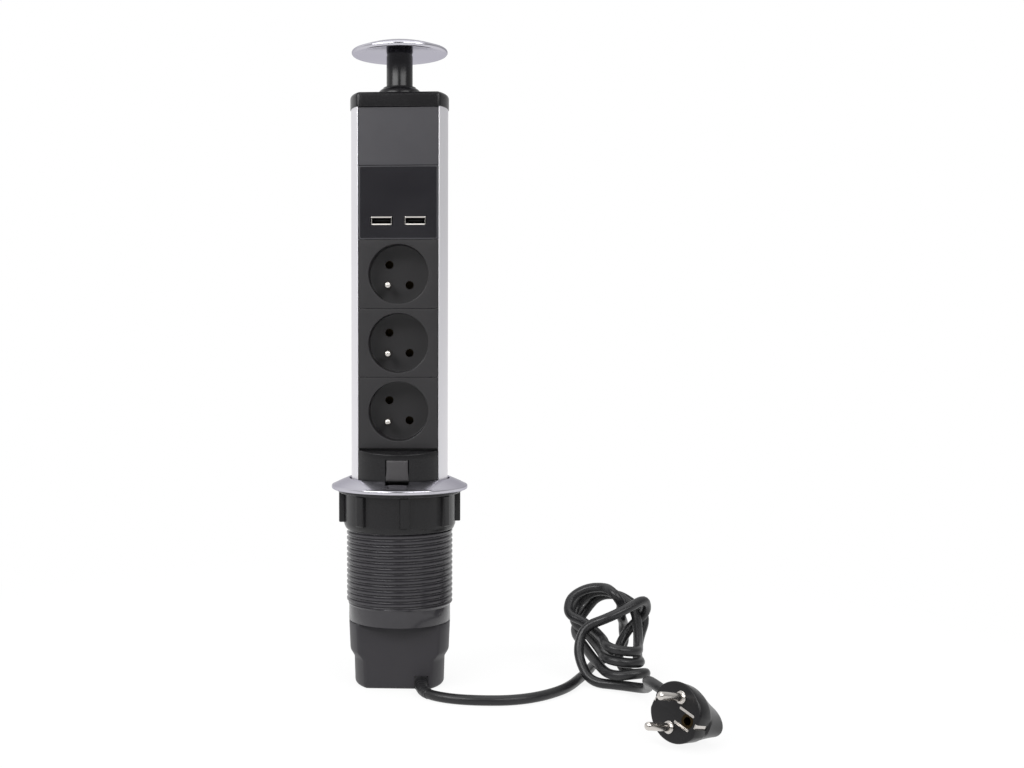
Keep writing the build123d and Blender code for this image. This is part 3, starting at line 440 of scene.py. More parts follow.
def piece(name, parts, slot, body, nodes=(), sharp=32.0):
    """Make one object from parts, each its points in millimetres and its faces, closed up at their seams,
    and let it ride on a body in place of the nodes."""
    mesh = bpy.data.meshes.new(name)
    points, faces, first = [], [], 0
    for part_points, part_faces in parts:
        points.append(np.asarray(part_points, float))
        faces.extend([[int(i) + first for i in face] for face in part_faces])
        first += len(part_points)
    mesh.from_pydata((np.concatenate(points) * MM).tolist(), [], faces)
    shape = bmesh.new()
    shape.from_mesh(mesh)
    bmesh.ops.remove_doubles(shape, verts=shape.verts, dist=0.002 * MM)
    bmesh.ops.dissolve_degenerate(shape, edges=shape.edges, dist=0.0005 * MM)
    bmesh.ops.recalc_face_normals(shape, faces=shape.faces)
    shape.to_mesh(mesh)
    shape.free()
    mesh.polygons.foreach_set("use_smooth", np.ones(len(mesh.polygons), bool))
    mesh.set_sharp_from_angle(angle=radians(sharp))
    made = bpy.data.objects.new(name, mesh)
    bpy.context.scene.collection.objects.link(made)
    mesh.materials.append(material(slot))
    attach(made, body)
    if nodes:
        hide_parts(*nodes)
    return made


def skin(rings, closed=False):
    """A surface through rings of equal count, as points and faces. It closes on itself or has two ends."""
    rings = np.asarray(rings, float)
    rows, columns = rings.shape[:2]
    faces = [list(face) for face in quads(rows, columns, closed)]
    if not closed:
        faces.append(list(range(columns))[::-1])
        faces.append(list(range((rows - 1) * columns, rows * columns)))
    return rings.reshape(-1, 3), faces


def lathe(profile, steps=96, closed=True, centre=(0.0, 0.0)):
    """A profile of radius and height turned round an upright axis: (r cos t, r sin t, z)."""
    t = np.linspace(0, tau, steps, endpoint=False)
    profile = np.asarray(profile, float)
    x = centre[0] + profile[:, :1] * np.cos(t)
    y = centre[1] + profile[:, :1] * np.sin(t)
    z = np.repeat(profile[:, 1:], steps, axis=1)
    return skin(np.stack([x, y, z], axis=2), closed)


def within(spot, loop):
    """Whether a flat point is inside a loop: a line to its right crosses the loop an odd number of times."""
    ahead = np.roll(loop, -1, axis=0)
    across = (loop[:, 1] > spot[1]) != (ahead[:, 1] > spot[1])
    rise = np.where(across, ahead[:, 1] - loop[:, 1], 1.0)
    crossing = loop[:, 0] + (spot[1] - loop[:, 1]) * (ahead[:, 0] - loop[:, 0]) / rise
    return np.count_nonzero(across & (crossing > spot[0])) % 2 == 1


def pierced(outline, holes, place):
    """A flat face with holes: triangles between the outline and the holes, then put in place."""
    loops = [np.asarray(outline)[:, :2]] + list(holes)
    flat = np.concatenate(loops)
    edges, first = [], 0
    for loop in loops:
        count = len(loop)
        edges += [(first + i, first + (i + 1) % count) for i in range(count)]
        first += count
    found = delaunay_2d_cdt([Vector(p) for p in flat], edges, [], 1, 1e-5)
    points, faces = np.array([tuple(p) for p in found[0]]), found[2]
    kept = [list(face) for face in faces
            if not any(within(points[list(face)].mean(axis=0), hole) for hole in holes)]
    return place(points), kept


def open_skin(rings):
    """A surface through rings without its two end faces."""
    points, faces = skin(rings)
    return points, faces[:-2]


def eased(share):
    """Smooth step from 0 to 1: s^2 (3 - 2 s)."""
    share = np.clip(share, 0.0, 1.0)
    return share**2 * (3 - 2 * share)


class TowerPiece:
    """What every piece's operator shares."""

    bl_options = {"REGISTER", "UNDO"}


class TOWER_OT_stage(TowerPiece, Operator):
    """White floor and surround, three soft lamps, and the camera"""

    bl_idname = "tower.stage"
    bl_label = "Stage"

    def execute(self, context):
        make_floor()
        make_world(context.scene)
        make_lamps()
        make_camera(context.scene)
        context.scene.view_settings.view_transform = "Standard"
        return {"FINISHED"}


def make_floor():
    """A wide white floor that keeps a soft shadow and shows white to the camera and to gloss."""
    reach = 20000.0
    mesh = bpy.data.meshes.new("floor")
    corners = np.array([(-1, -1, 0), (1, -1, 0), (1, 1, 0), (-1, 1, 0)]) * reach * MM
    mesh.from_pydata(corners.tolist(), [], [(0, 1, 2, 3)])
    floor = bpy.data.objects.new("floor", mesh)
    bpy.context.scene.collection.objects.link(floor)
    made = Finish("white_floor")
    ray = made.node("ShaderNodeLightPath", {}, {})
    seen = ray.output("Is Camera Ray") + ray.output("Is Glossy Ray") + ray.output("Is Transmission Ray")
    paper = made.noise(made.place(), 4.0, 2.0)
    shade = made.mix(paper, (0.90, 0.90, 0.90, 1), (0.92, 0.92, 0.92, 1))
    paint = made.node("ShaderNodeBsdfDiffuse", {}, {"Color": shade})
    glow = made.node("ShaderNodeEmission", {}, {"Color": (1, 1, 1, 1), "Strength": 1.0})
    far = made.ramp(made.node("ShaderNodeVectorMath", {"operation": "LENGTH"},
                              {0: made.place()}).output("Value"), 0.15, 0.5)
    made.end(made.node("ShaderNodeMixShader", {}, {0: seen * (0.88 + far * 0.12), 1: paint, 2: glow}))
    mesh.materials.append(made.material)


def make_world(scene):
    """White to the camera. To all else a studio that is pale behind, paler on the left, and dark in front."""
    scene.world = bpy.data.worlds.new("studio")
    made = Finish("studio", scene.world)
    way = made.node("ShaderNodeTexCoord", {}, {}).output("Generated")
    back = made.ramp(way.axis("Y"), -0.8, 0.25)
    left = made.ramp(way.axis("X"), 0.7, -0.5)
    above = made.ramp(way.axis("Z"), 0.35, 0.9)
    light = 0.05 + back * (0.50 + left * 0.38) + above * 0.25
    seen = made.node("ShaderNodeLightPath", {}, {}).output("Is Camera Ray")
    strength = light + seen * (1.0 - light)
    made.end(made.node("ShaderNodeBackground", {}, {"Color": (1, 1, 1, 1), "Strength": strength}),
             "ShaderNodeOutputWorld")


def make_lamps():
    """Two wide soft lamps in front, the left one stronger, and a weaker one above."""
    for name, place, size, power in (("key", (-1.0, -1.25, 1.15), (1.5, 0.7), sizes().lamp_power),
                                     ("fill", (0.95, -1.3, 1.15), (1.4, 0.6), sizes().lamp_power * 0.6),
                                     ("top", (0.1, -0.1, 1.9), (1.4, 1.4), sizes().lamp_power * 0.3)):
        lamp = bpy.data.lights.new(name, "AREA")
        lamp.shape = "RECTANGLE"
        lamp.size, lamp.size_y = size
        lamp.energy = power
        holder = bpy.data.objects.new(name, lamp)
        holder.location = place
        holder.rotation_mode = "QUATERNION"
        holder.rotation_quaternion = (Vector((0, 0, 0.2)) - Vector(place)).to_track_quat("-Z", "Y")
        bpy.context.scene.collection.objects.link(holder)


def make_camera(scene):
    """The photograph's camera: nearly level, 3 degrees round from the column's front."""
    distance_m, height_m, yaw, pitch = 0.8825, 0.2326, radians(3.0), radians(-2.97)
    camera = bpy.data.cameras.new("camera")
    camera.sensor_width = 36.0
    camera.lens = 46.39
    camera.shift_x = 0.1097
    camera.shift_y = 0.0214
    camera.clip_start, camera.clip_end = 0.02, 100.0
    holder = bpy.data.objects.new("camera", camera)
    holder.location = (distance_m * sin(yaw), -distance_m * cos(yaw), height_m)
    holder.rotation_euler = (pi / 2 + pitch, 0.0, yaw)
    scene.collection.objects.link(holder)
    scene.camera = holder


class TOWER_OT_knob(TowerPiece, Operator):
    """Domed metal knob, its stem with the spring, and the domed collar that guides the stem"""

    bl_idname = "tower.knob"
    bl_label = "Knob"

    def execute(self, context):
        make_knob()
        make_stem()
        make_collar()
        make_spring()
        return {"FINISHED"}


def make_knob():
    """A disc with a round rim and a hollow under it. Its top is a sphere: z = top - S + sqrt(S^2 - r^2)."""
    low, high = span("knob_disc")
    rim = 1.7
    flat = high[0] - rim
    rise = high[2] - low[2] - 2 * rim
    sphere = (flat**2 + rise**2) / (2 * rise)
    out = np.linspace(flat, 0, 14)
    dome = np.column_stack([out, high[2] - sphere + np.sqrt(sphere**2 - out**2)])
    edge = arc((flat, low[2] + rim), rim, -90, 78, 12)
    under = [(0.0, low[2] + KNOB_HOLLOW), (flat - 3.5, low[2] + KNOB_HOLLOW),
             (flat - 2.2, low[2] + KNOB_HOLLOW * 0.3), (flat - 1.0, low[2])]
    profile = np.concatenate([under, edge, dome])
    piece("knob", [lathe(profile, 128, closed=False)], "satin_metal", "knob", ["knob_disc"])


def make_stem():
    """The stem: a foot on the spring, a shaft that narrows just under the knob, and a spigot in the knob."""
    low, high = span("knob_stem")
    foot, spigot, ease, shoulder = high[0], 5.0, 0.5, low[2] + 3.0
    seat = span("knob_disc")[0][2] + KNOB_HOLLOW
    profile = [(0.0, low[2]), (foot - ease, low[2]), (foot, low[2] + ease), (foot, shoulder - ease),
               (foot - ease, shoulder), (STEM_RADIUS, shoulder), (STEM_RADIUS, seat - 1.2),
               (STEM_RADIUS - 0.3, seat - 0.6), (STEM_RADIUS - 0.3, seat), (spigot, seat),
               (spigot, high[2] - 0.2), (spigot - 0.2, high[2]), (0.0, high[2])]
    piece("stem", [lathe(profile, 64, closed=False)], "black_moulding", "knob", ["knob_stem"])


def make_collar():
    """A domed ring round the stem, with a rounded lip at its bore."""
    low, high = span("stem_collar")
    top, swell, bore = high[2], 4.6, STEM_BORE
    dome = arc((high[0] - swell, low[2]), swell, 0, 62, 8)
    lip = [(bore + 2.3, top - 1.0), (bore + 2.0, top - 0.15), (bore + 1.2, top), (bore + 0.25, top - 0.12),
           (bore, top - 0.4)]
    profile = [(bore, low[2]), (high[0] - 0.2, low[2]), *dome, *lip]
    piece("collar", [lathe(profile, 96)], "black_moulding", "column", ["stem_collar"])


def make_spring():
    """The spring under the stem, a helix (r cos t, r sin t, z) with z rising by t."""
    low, high = span("stem_spring")
    wire, turns, turn_points, around = 1.2, 6, 32, 10
    height, radius = high[2] - low[2], high[0] - wire / 2
    share = np.linspace(0, 1, turn_points * turns + 1)
    t = tau * turns * share
    rise = low[2] + wire / 2 + (height - wire) * share
    line = np.column_stack([radius * np.cos(t), radius * np.sin(t), rise])
    coil = skin(tube(line, np.full(len(line), wire / 2), around))
    made = piece("spring", [coil], "bright_nickel", "column", ["stem_spring"])
    travel = next(-joint["range_m"][0] / MM for joint in frame["joints"] if joint["name"] == "knob_press")
    1 - travel / height
    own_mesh(made)


class TOWER_OT_cap(TowerPiece, Operator):
    """D-shaped cap with a rounded top edge, whose foot stands over the column and the panel"""

    bl_idname = "tower.cap"
    bl_label = "Cap"

    def execute(self, context):
        low, high = span("top_cap")
        foot, top, edge, corner = cap_foot, high[2], 2.6, 3.0
        radius, flat = high[0], -low[1]
        steps = [(4.0, foot), (0.3, foot), (0.0, foot + 0.3), *quarter(edge, 0.0, top - edge, 1, 8)]
        rings = [level(round_d(radius - inset, flat - inset, max(corner - inset, 0.3)), z)
                 for inset, z in steps]
        t = np.arctan2(rings[0][:, 1], rings[0][:, 0])
        hole = STEM_BORE * np.column_stack([np.cos(t), np.sin(t)])
        rings += [level(hole, top), level(hole, foot)]
        piece("cap", [skin(rings, closed=True)], "black_moulding", "column", ["top_cap"])
        return {"FINISHED"}


class TOWER_OT_column(TowerPiece, Operator):
    """Silver extrusion: a D-shaped tube open in front between two rounded lips"""

    bl_idname = "tower.column"
    bl_label = "Column"

    def execute(self, context):
        wall, ledge, ledge_depth = 1.8, 22.0, 1.8
        rabbet, front = plate_half_width + 0.2, lip_y + 0.4
        inner = column_radius - wall
        turn = np.degrees(np.arcsin(front / column_radius))
        lip_x = column_radius * cos(radians(turn))
        lip = sizes().lip_round
        ledge_y = plate_back_y + ledge_depth
        inner_turn = np.degrees(np.arcsin(ledge_y / inner))
        side = [(-lip_x + lip * 0.3, front + lip * 0.2), (-lip_x + lip * 0.8, front), (-rabbet - lip, front),
                (-rabbet - 0.3 * lip, front + 0.3 * lip), (-rabbet, front + lip), (-rabbet, plate_back_y),
                (-ledge, plate_back_y), (-ledge, ledge_y)]
        outer = arc((0, 0), column_radius, turn + 0.6, 180 - turn - 0.6, 97)
        back = arc((0, 0), inner, 180 - inner_turn, inner_turn, 97)
        other = [(-x, y) for x, y in side[::-1]]
        outline = np.concatenate([outer, side, back, other])
        rings = [level(outline, z) for z in (column_low[2], cap_foot)]
        piece("column", [skin(rings)], "anodised_silver", "column", ["column_extrusion"], 28)
        return {"FINISHED"}


def plate_rings(low_z, high_z):
    """Rings of a plate between two heights, from its back to its face, with the front edges rounded."""
    centre, half_height = (0.0, (high_z + low_z) / 2), (high_z - low_z) / 2
    edge, corner = sizes().plate_round, 0.6
    steps = [(0.0, plate_back_y - face_y), *quarter(edge, 0.0, edge, -1, 5)]
    return [facing(rounded_box(plate_half_width - i, half_height - i, corner), d, centre) for i, d in steps]


class TOWER_OT_panel(TowerPiece, Operator):
    """Blank grey panel between the cap and the charging module"""

    bl_idname = "tower.panel"
    bl_label = "Blank panel"

    def execute(self, context):
        rings = plate_rings(plate_low[2], plate_high[2])
        piece("panel", [skin(rings)], "panel_grey", "column", ["blank_panel"])
        return {"FINISHED"}


class TOWER_OT_charging(TowerPiece, Operator):
    """Charging module: plate with a glossy label and two mouths with their shells and tongues"""

    bl_idname = "tower.charging"
    bl_label = "Charging module"

    def execute(self, context):
        low, high = span("usb_faceplate")
        centre = np.array([0.0, (low[2] + high[2]) / 2])
        ports = [front_view(f"usb_port_{number}") for number in PORTS]
        holes = [rounded_box(*(half + 0.1), 0.5, 6, 4) + (spot - centre) for spot, half in ports]
        rings = plate_rings(low[2], high[2])
        faces = [ring[:, [0, 2]] - centre for ring in (rings[-1], rings[0])]
        parts = slab(rings, faces, (0.0, plate_back_y - face_y), holes, centre)
        piece("charging_plate", parts, "panel_grey", "column", ["usb_faceplate"])
        make_label(low, high, centre, holes)
        for number, (spot, half) in enumerate(ports, start=1):
            make_port(number, spot, half)
            make_tongue(number)
        return {"FINISHED"}


def slab(rings, faces, depths, holes, centre):
    """A plate with holes: its sides, its front and back face, and the walls of the holes."""
    parts = [open_skin(rings)]
    parts += [pierced(face, holes, lambda p: facing(p, depth, centre)) for face, depth in zip(faces, depths)]
    return parts + [open_skin([facing(hole, depth, centre) for depth in depths]) for hole in holes]


def make_label(low, high, centre, holes):
    """The thin glossy label on the charging plate, with a small step round its edge."""
    side_margin, end_margin, step, back, shoulder, front = 1.1, 0.75, 0.06, -0.01, -0.07, -0.12
    reach = np.array([plate_half_width - side_margin, (high[2] - low[2]) / 2 - end_margin])
    flat, top = rounded_box(*reach, 0.8), rounded_box(*(reach - step), 0.75)
    rings = [facing(flat, back, centre), facing(flat, shoulder, centre), facing(top, front, centre)]
    wide = [hole + (hole - hole.mean(axis=0)) * 0.02 for hole in holes]
    piece("charging_label", slab(rings, (top, flat), (front, back), wide, centre), "label_gloss", "column")


def end_face(ring):
    """One flat face over a ring."""
    return ring, [list(range(len(ring)))]


def make_port(number, centre, half):
    """A folded metal shell whose lip turns outward, with a near-black liner inside as painted shade in the mouth.
    The shell is a rounded box carried from its lip into the depth, and back outside by its wall."""
    depth, wall, mouth = span(f"usb_port_{number}")[1][1] - face_y, 0.35, np.array([6.25, 2.35])
    lip = half - (0.5, 0.0)

    def boxes(steps, corner=0.5):
        return [facing(rounded_box(*shape, corner, 6, 4), behind, centre) for shape, behind in steps]

    inner = boxes(((lip, 0.9), (lip, 0.35), (lip - 0.12, 0.18), (lip - (0.45, 0.12), 0.12),
                   (mouth + (0.1, -0.45), 0.6), (mouth - (0.0, 0.3), 1.4), (mouth, 2.2),
                   (mouth, depth - wall)))
    outer = boxes(((mouth + wall, depth), (mouth + wall, 1.2), (lip, 0.9)))
    # Painted shade: a near-black sheet inside the shell that darkens the mouth
    painted_shade_liner = boxes(((mouth - 0.5, depth - 0.9), (mouth - 0.5, 1.3), (mouth - 0.36, 1.5), (mouth - 0.06, 2.3),
                   (mouth - 0.06, depth - 0.4)), 0.4)
    shell = [open_skin(inner), end_face(inner[-1]), open_skin(outer), end_face(outer[0])]
    piece(f"port_painted_shade_liner_{number}", [skin(painted_shade_liner)], "tongue_white", "column")
    piece(f"port_{number}", shell, "bright_nickel", "column", [f"usb_port_{number}"])


def make_tongue(number):
    """The tongue of a mouth, its end eased, with four contacts under it."""
    node = f"usb_tongue_{number}"
    low, high = span(node)
    centre, half = front_view(node)
    start, stop = low[1] - face_y, high[1] - face_y
    rings = [facing(rounded_box(*(half - inset), 0.25, 4, 3), behind, centre)
             for inset, behind in ((0.0, stop), (0.0, start + 0.5), (0.2, start + 0.15), (0.5, start))]
    piece(f"tongue_{number}", [skin(rings)], "tongue_white", "column", [node])
    contact = rounded_box(0.5, 0.12, 0.05, 2, 2)
    strips = [skin([facing(contact, behind, (centre[0] + u, low[2] - 0.05))
                    for behind in (start + 1.2, stop - 0.1)]) for u in (-3.5, -1.0, 1.0, 3.5)]
    piece(f"tongue_contacts_{number}", strips, "contact_brass", "column")


def carried(node):
    """Give a CAD node that stays as it is the finish of its slot."""
    made = frame["nodes"][node]
    made.data.materials.clear()
    made.data.materials.append(material(node_slot(node)))


def node_slot(node):
    """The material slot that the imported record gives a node."""
    return next(part["material_slot"] for part in frame["record"]["subparts"] if part["node"] == node)


class TOWER_OT_sockets(TowerPiece, Operator):
    """Three socket faces with their recesses and contact holes, and the earth pins"""

    bl_idname = "tower.sockets"
    bl_label = "Sockets"

    def execute(self, context):
        for number in SOCKETS:
            make_socket(number)
            make_earth_pin(number)
        return {"FINISHED"}


def make_socket(number):
    """A face plate whose surface runs from its back edge over the rounded front into the round recess, down
    to a floor with three holes, and back round the outside of the recess to a base plate."""
    low, high = span(f"socket_body_{number}")
    middle, half_height = (low[2] + high[2]) / 2, (high[2] - low[2]) / 2
    recess, wall, depth, floor, crease = 19.5, 1.7, 15.0, 2.0, 0.5
    contact_pitch, contact_hole, earth_hole, base_half_width = 19.0, 2.75, 2.41, 22.3
    rim, growth = sizes().recess_round, 0.07
    lowest = low[2] == min(span(f"socket_body_{other}")[0][2] for other in SOCKETS)
    growth_below = 1.9 if lowest else growth

    def placed(outline, behind):
        return facing(outline, behind, (0.0, middle))

    plate = plate_rings(low[2] - growth_below, high[2] + growth)
    outline = plate[0][:, [0, 2]] - (0.0, middle)
    t = np.arctan2(outline[:, 1], outline[:, 0])
    circle = np.column_stack([np.cos(t), np.sin(t)])
    rings = list(plate)
    rings += [placed(circle * (recess + rim * (1 - sin(a))), rim * (1 - cos(a)))
              for a in np.linspace(0, pi / 2, 6)]
    rings += [placed(circle * (recess - crease * (1 - cos(a))), depth - crease + crease * sin(a))
              for a in np.linspace(0, pi / 2, 4)]
    base = rounded_box(base_half_width, half_height, 0.6)
    outside = circle * (recess + wall)
    back = [plate[0], placed(outside, plate_back_y - face_y), placed(outside, depth), placed(base, depth),
            placed(base, depth + floor)]
    offset = contact_pitch / 2 * cos(radians(45))
    earth = front_view(f"earth_pin_{number}")[0] - (0.0, middle)
    holes = [arc(spot, radius, 0, 345, 24)
             for spot, radius in (((-offset, offset), contact_hole), ((offset, -offset), contact_hole),
                                  (earth, earth_hole))]
    floor_ring = rings[-1][:, [0, 2]] - (0.0, middle)
    parts = [open_skin(rings), open_skin(back), pierced(floor_ring, holes, lambda p: placed(p, depth)),
             pierced(base, holes, lambda p: placed(p, depth + floor))]
    parts += [open_skin([placed(hole, behind) for behind in (depth, depth + floor)]) for hole in holes]
    piece(f"socket_{number}", parts, "socket_black", "column", [f"socket_body_{number}"])


def make_earth_pin(number):
    """A round pin with a domed end, turned along the depth."""
    low, high = span(f"earth_pin_{number}")
    centre, (radius, _) = front_view(f"earth_pin_{number}")
    dome = [(radius * cos(a), low[1] + radius * 0.85 * (1 - sin(a))) for a in np.linspace(0, pi / 2, 8)]
    profile = [(0.0, high[1]), (radius, high[1]), *dome]
    points, faces = lathe(profile, 32, closed=False)
    points = np.column_stack([points[:, 0] + centre[0], points[:, 2], points[:, 1] + centre[1]])
    piece(f"earth_{number}", [(points, faces)], "bright_nickel", "column", [f"earth_pin_{number}"])


class TOWER_OT_latch(TowerPiece, Operator):
    """Latch carrier below the sockets, with its release tab and hook"""

    bl_idname = "tower.latch"
    bl_label = "Latch"

    def execute(self, context):
        make_carrier()
        make_tab()
        make_hook()
        return {"FINISHED"}


def bowed(x, radius):
    """Depth of a round front at x: y = -sqrt(R^2 - x^2)."""
    return -np.sqrt(radius**2 - x**2)


def make_carrier():
    """The front follows the column's round, y = -sqrt(R^2 - x^2), and has a pocket for the tab. Its top falls
    to the front, z = top - slope (y0 - y). A block behind it ends in a thin upright tongue at the lowest
    socket's plate, and a core runs up the middle of the column."""
    low, high = span("latch_carrier")
    tab_high, hook_low = span("release_button")[1], span("latch_hook")[0]
    radius, gap, edge, softening, pocket_depth = -low[1], 0.2, 0.5, 0.25, 11.2
    fall_y, slope, back_y, tongue_y = face_y - 1.1, 2.0 / 14.4, face_y + 0.2, plate_back_y - 0.5
    half, top = plate_half_width, high[2] - 2.85
    reach = tab_high[0] + gap
    sides = [reach + softening, reach + 0.07, reach, reach]
    x = np.concatenate([np.linspace(half, sides[0], 26), sides[1:],
                        np.linspace(reach - 0.01, -reach + 0.01, 18),
                        [-side for side in sides[:0:-1]], np.linspace(-sides[0], -half, 26)])
    inner = np.abs(x) < reach - 0.005
    lip = np.clip((np.abs(x) - reach) / softening, 0.0, 1.0)
    soft = softening * (1 - np.sqrt(1 - (1 - lip) ** 2)) * ~inner

    def ring(height, inset, sunk=False):
        shape = bowed(x, radius) + inset + soft * sunk
        depth = np.where(inner & sunk, -radius + pocket_depth, shape)
        line = np.column_stack([x * (half - inset) / half, depth, np.full(len(x), height)])
        return np.vstack([line, [(-half + inset, back_y, height), (half - inset, back_y, height)]])

    pocket_low, pocket_high = hook_low[2] - gap, tab_high[2] + gap
    rings = [ring(low[2], edge)]
    rings += [ring(z, i) for i, z in quarter(edge, 0.0, low[2] + edge, -1, 4)[::-1][1:]]
    rings += [ring(z, 0.0, sunk) for z, sunk in ((pocket_low - 0.01, False), (pocket_low, True),
                                                 (pocket_high, True), (pocket_high + 0.01, False))]
    for inset, lift in quarter(edge, 0.0, 0.0, 1, 5):
        here = ring(0.0, inset)
        here[:, 2] = top - edge + lift - np.clip(fall_y - here[:, 1], 0, None) * slope
        rings.append(here)
    side = [(fall_y, low[2]), (fall_y, top - 0.02), (tongue_y, top), (tongue_y, high[2]),
            (plate_back_y, high[2]), (plate_back_y, low[2])]
    core_width, core_depth = 12.0, 9.3
    core = rounded_box(core_width, core_depth, 0.5, 3, 3) + (0.0, high[1] - core_depth)
    parts = [skin(rings), skin(side_rings(side, (-half + 0.1, half - 0.1))),
             skin([level(core, z) for z in (low[2], top)])]
    piece("latch_carrier_skin", parts, "black_moulding", "column", ["latch_carrier"], 30)


def side_rings(side, places):
    """A side outline in y and z, put at each of some places in x."""
    return [np.column_stack([np.full(len(side), x), side]) for x in places]


def tab_places(roll, count):
    """Places from -1 to 1 over the tab, close together where an edge rolls over and doubled at the ends."""
    edge = -1 + roll * (1 - np.cos(np.linspace(0, pi / 2, 7)[1:]))
    return np.concatenate([[-1, -1], edge, np.linspace(-0.7, 0.7, count), -edge[::-1], [1, 1]])


def make_tab():
    """A raised pad on the carrier's round, with rolled edges and a foot that flares out. At a distance e
    from the pad's edge y = -sqrt(R^2 - x^2) - rise (1 - (1 - e/r)^2) + dip exp(-(u/a)^2 - (v/b)^2), with v
    counted from a little above the middle."""
    low, high = span("release_button")
    radius, rise, roll, dip, flare = -low[1], 0.5, 1.3, 0.35, 0.07
    half_width, half_height, middle = high[0], (high[2] - low[2]) / 2, (low[2] + high[2]) / 2
    u, v = np.meshgrid(tab_places(0.22, 15), tab_places(0.24, 13))
    x = u * half_width * (1 - flare * (1 - eased((0.1 - v) / 0.9)))
    z = middle + v * half_height
    edge = np.minimum((1 - np.abs(u)) * half_width, (1 - np.abs(v)) * half_height)
    lift = rise * (1 - (1 - np.clip(edge / roll, 0, 1)) ** 2)
    y = bowed(x, radius) - lift + dip * np.exp(-((u / 0.55) ** 2) - ((v - 0.1) / 0.5) ** 2)
    y[[0, -1], :] = high[1]
    y[:, [0, -1]] = high[1]
    index = np.arange(x.size).reshape(x.shape)
    faces = patches(index)
    rim = np.concatenate([index[0, :-1], index[:-1, -1], index[-1, :0:-1], index[:0:-1, 0]])
    points = np.stack([x, y, z], axis=-1).reshape(-1, 3)
    piece("release_tab", [(points, [list(face) for face in faces] + [list(rim)])], "tab_grey", "release",
          ["release_button"], 40)


def make_hook():
    """The hook's side outline, carried across the tab's width: a bar that stands back behind the carrier's
    front and ends in a nose with a slanted underside."""
    low, high = span("latch_hook")
    front, back, foot, top, inset = low[1], high[1], low[2], high[2], 0.15
    side = [(back, top), (front + 5.6, top), (front + 5.2, top - 0.4), (front + 5.2, foot + 8.0),
            (front + 4.8, foot + 6.6), (front + 1.0, foot + 5.2), (front + 0.3, foot + 4.6),
            (front + 0.3, foot + 3.6), (front + 4.0, foot), (back, foot)]
    rings = side_rings(side, np.linspace(low[0] + inset, high[0] - inset, 5))
    piece("latch_hook_bar", [skin(rings)], "black_moulding", "release", ["latch_hook"])


class TOWER_OT_flange(TowerPiece, Operator):
    """Domed metal flange ring with its notch, and the gasket and slip washer under it"""

    bl_idname = "tower.flange"
    bl_label = "Flange"

    def execute(self, context):
        make_flange_ring()
        make_washer("flange_gasket", "housing", THREAD_CREST + 0.2)
        make_washer("slip_washer", "slip_washer", THREAD_CREST + THREAD_GAP)
        return {"FINISHED"}


def make_washer(node, body, bore):
    """A flat ring with its outer edges rounded, turned round the axis."""
    low, high = span(node)
    edge = 0.25
    foot = arc((high[0] - edge, low[2] + edge), edge, -90, 0, 4)
    head = arc((high[0] - edge, high[2] - edge), edge, 0, 90, 4)
    profile = np.concatenate([[(bore, low[2])], foot, head, [(bore, high[2])]])
    piece(node + "_ring", [lathe(profile, 96)], node_slot(node), body, [node])


def make_flange_ring():
    """A domed profile turned round the axis. The dome is z = rim + fall (1 - u) + 4 c u (1 - u), with u from
    0 at the inner edge to 1 at the rim. In the notch each point keeps x and moves out to a flat wall."""
    low, high = span("flange_ring")
    shelf = span("threaded_sleeve")[1][2]
    outer, top, foot = high[0], high[2], low[2]
    inner, edge, crown, rim_z, seat = 33.5, 0.9, 0.2, low[2] + 2.8, 43.9
    notch, wall = span("release_button")[1][0] + 0.2, 38.0
    start = inner + edge

    def dome(r):
        u = (r - start) / (outer - edge - start)
        return rim_z + (top - rim_z) * (1 - u) + 4 * crown * u * (1 - u)

    r_dome = np.linspace(outer - edge, start, 16)
    below = [[(seat, foot)], arc((outer - edge, foot + edge), edge, -90, 0, 5),
             arc((outer - edge, rim_z - edge), edge, 0, 72, 5)]
    above = [np.column_stack([r_dome, dome(r_dome)]), arc((start, top - edge), edge, 90, 180, 5)[1:]]
    r, z = np.concatenate([*below, *above, [(inner, shelf), (seat, shelf)]]).T
    outside, inside = sum(map(len, below)), len(r) - 2
    on_dome = (np.arange(len(r)) >= outside) & (np.arange(len(r)) < inside)
    moved = (np.arange(len(r)) >= outside) & (np.arange(len(r)) <= inside)

    def notch_column(x, cut):
        reach = np.where(moved, np.maximum(r, np.hypot(wall, x)), r) if cut else r
        height = np.where(on_dome & (reach > r), dome(reach), z)
        return np.column_stack([np.full(len(r), x), -np.sqrt(reach**2 - x**2), height])

    columns = [notch_column(notch * s, True) for s in np.linspace(-1, 1, 9)]
    columns.append(notch_column(notch, False))
    columns += [np.column_stack([r * sin(turn), -r * cos(turn), z])
                for turn in np.radians(np.linspace(17, 343, 164))]
    columns.append(notch_column(-notch, False))
    piece("flange_trim", [skin(columns, closed=True)], "satin_metal", "housing", ["flange_ring"], 24)


class TOWER_OT_sleeve(TowerPiece, Operator):
    """Black sleeve with its screw thread, a plain band below and the flange plate above"""

    bl_idname = "tower.sleeve"
    bl_label = "Sleeve"

    def execute(self, context):
        low, high = span("threaded_sleeve")
        root = THREAD_CREST - sizes().thread_depth
        bore, start, plate, plate_thick, steps, ease = 33.0, 54.0, high[0], 2.4, 128, 0.3
        stop = high[2] - plate_thick
        profile = [(root, start), (root, low[2] + ease), (root - ease, low[2]), (bore, low[2]),
                   (bore, high[2]), (plate, high[2]), (plate, stop), (root, stop)]
        parts = [thread(root, start, stop, steps, 12), open_lathe(profile, steps)]
        piece("sleeve", parts, "sleeve_black", "housing", ["threaded_sleeve"], 50)
        return {"FINISHED"}


def open_lathe(profile, steps):
    """A profile turned round the axis, without a face between its last point and its first."""
    points, faces = lathe(profile, steps, closed=False)
    return points, faces[:-2]


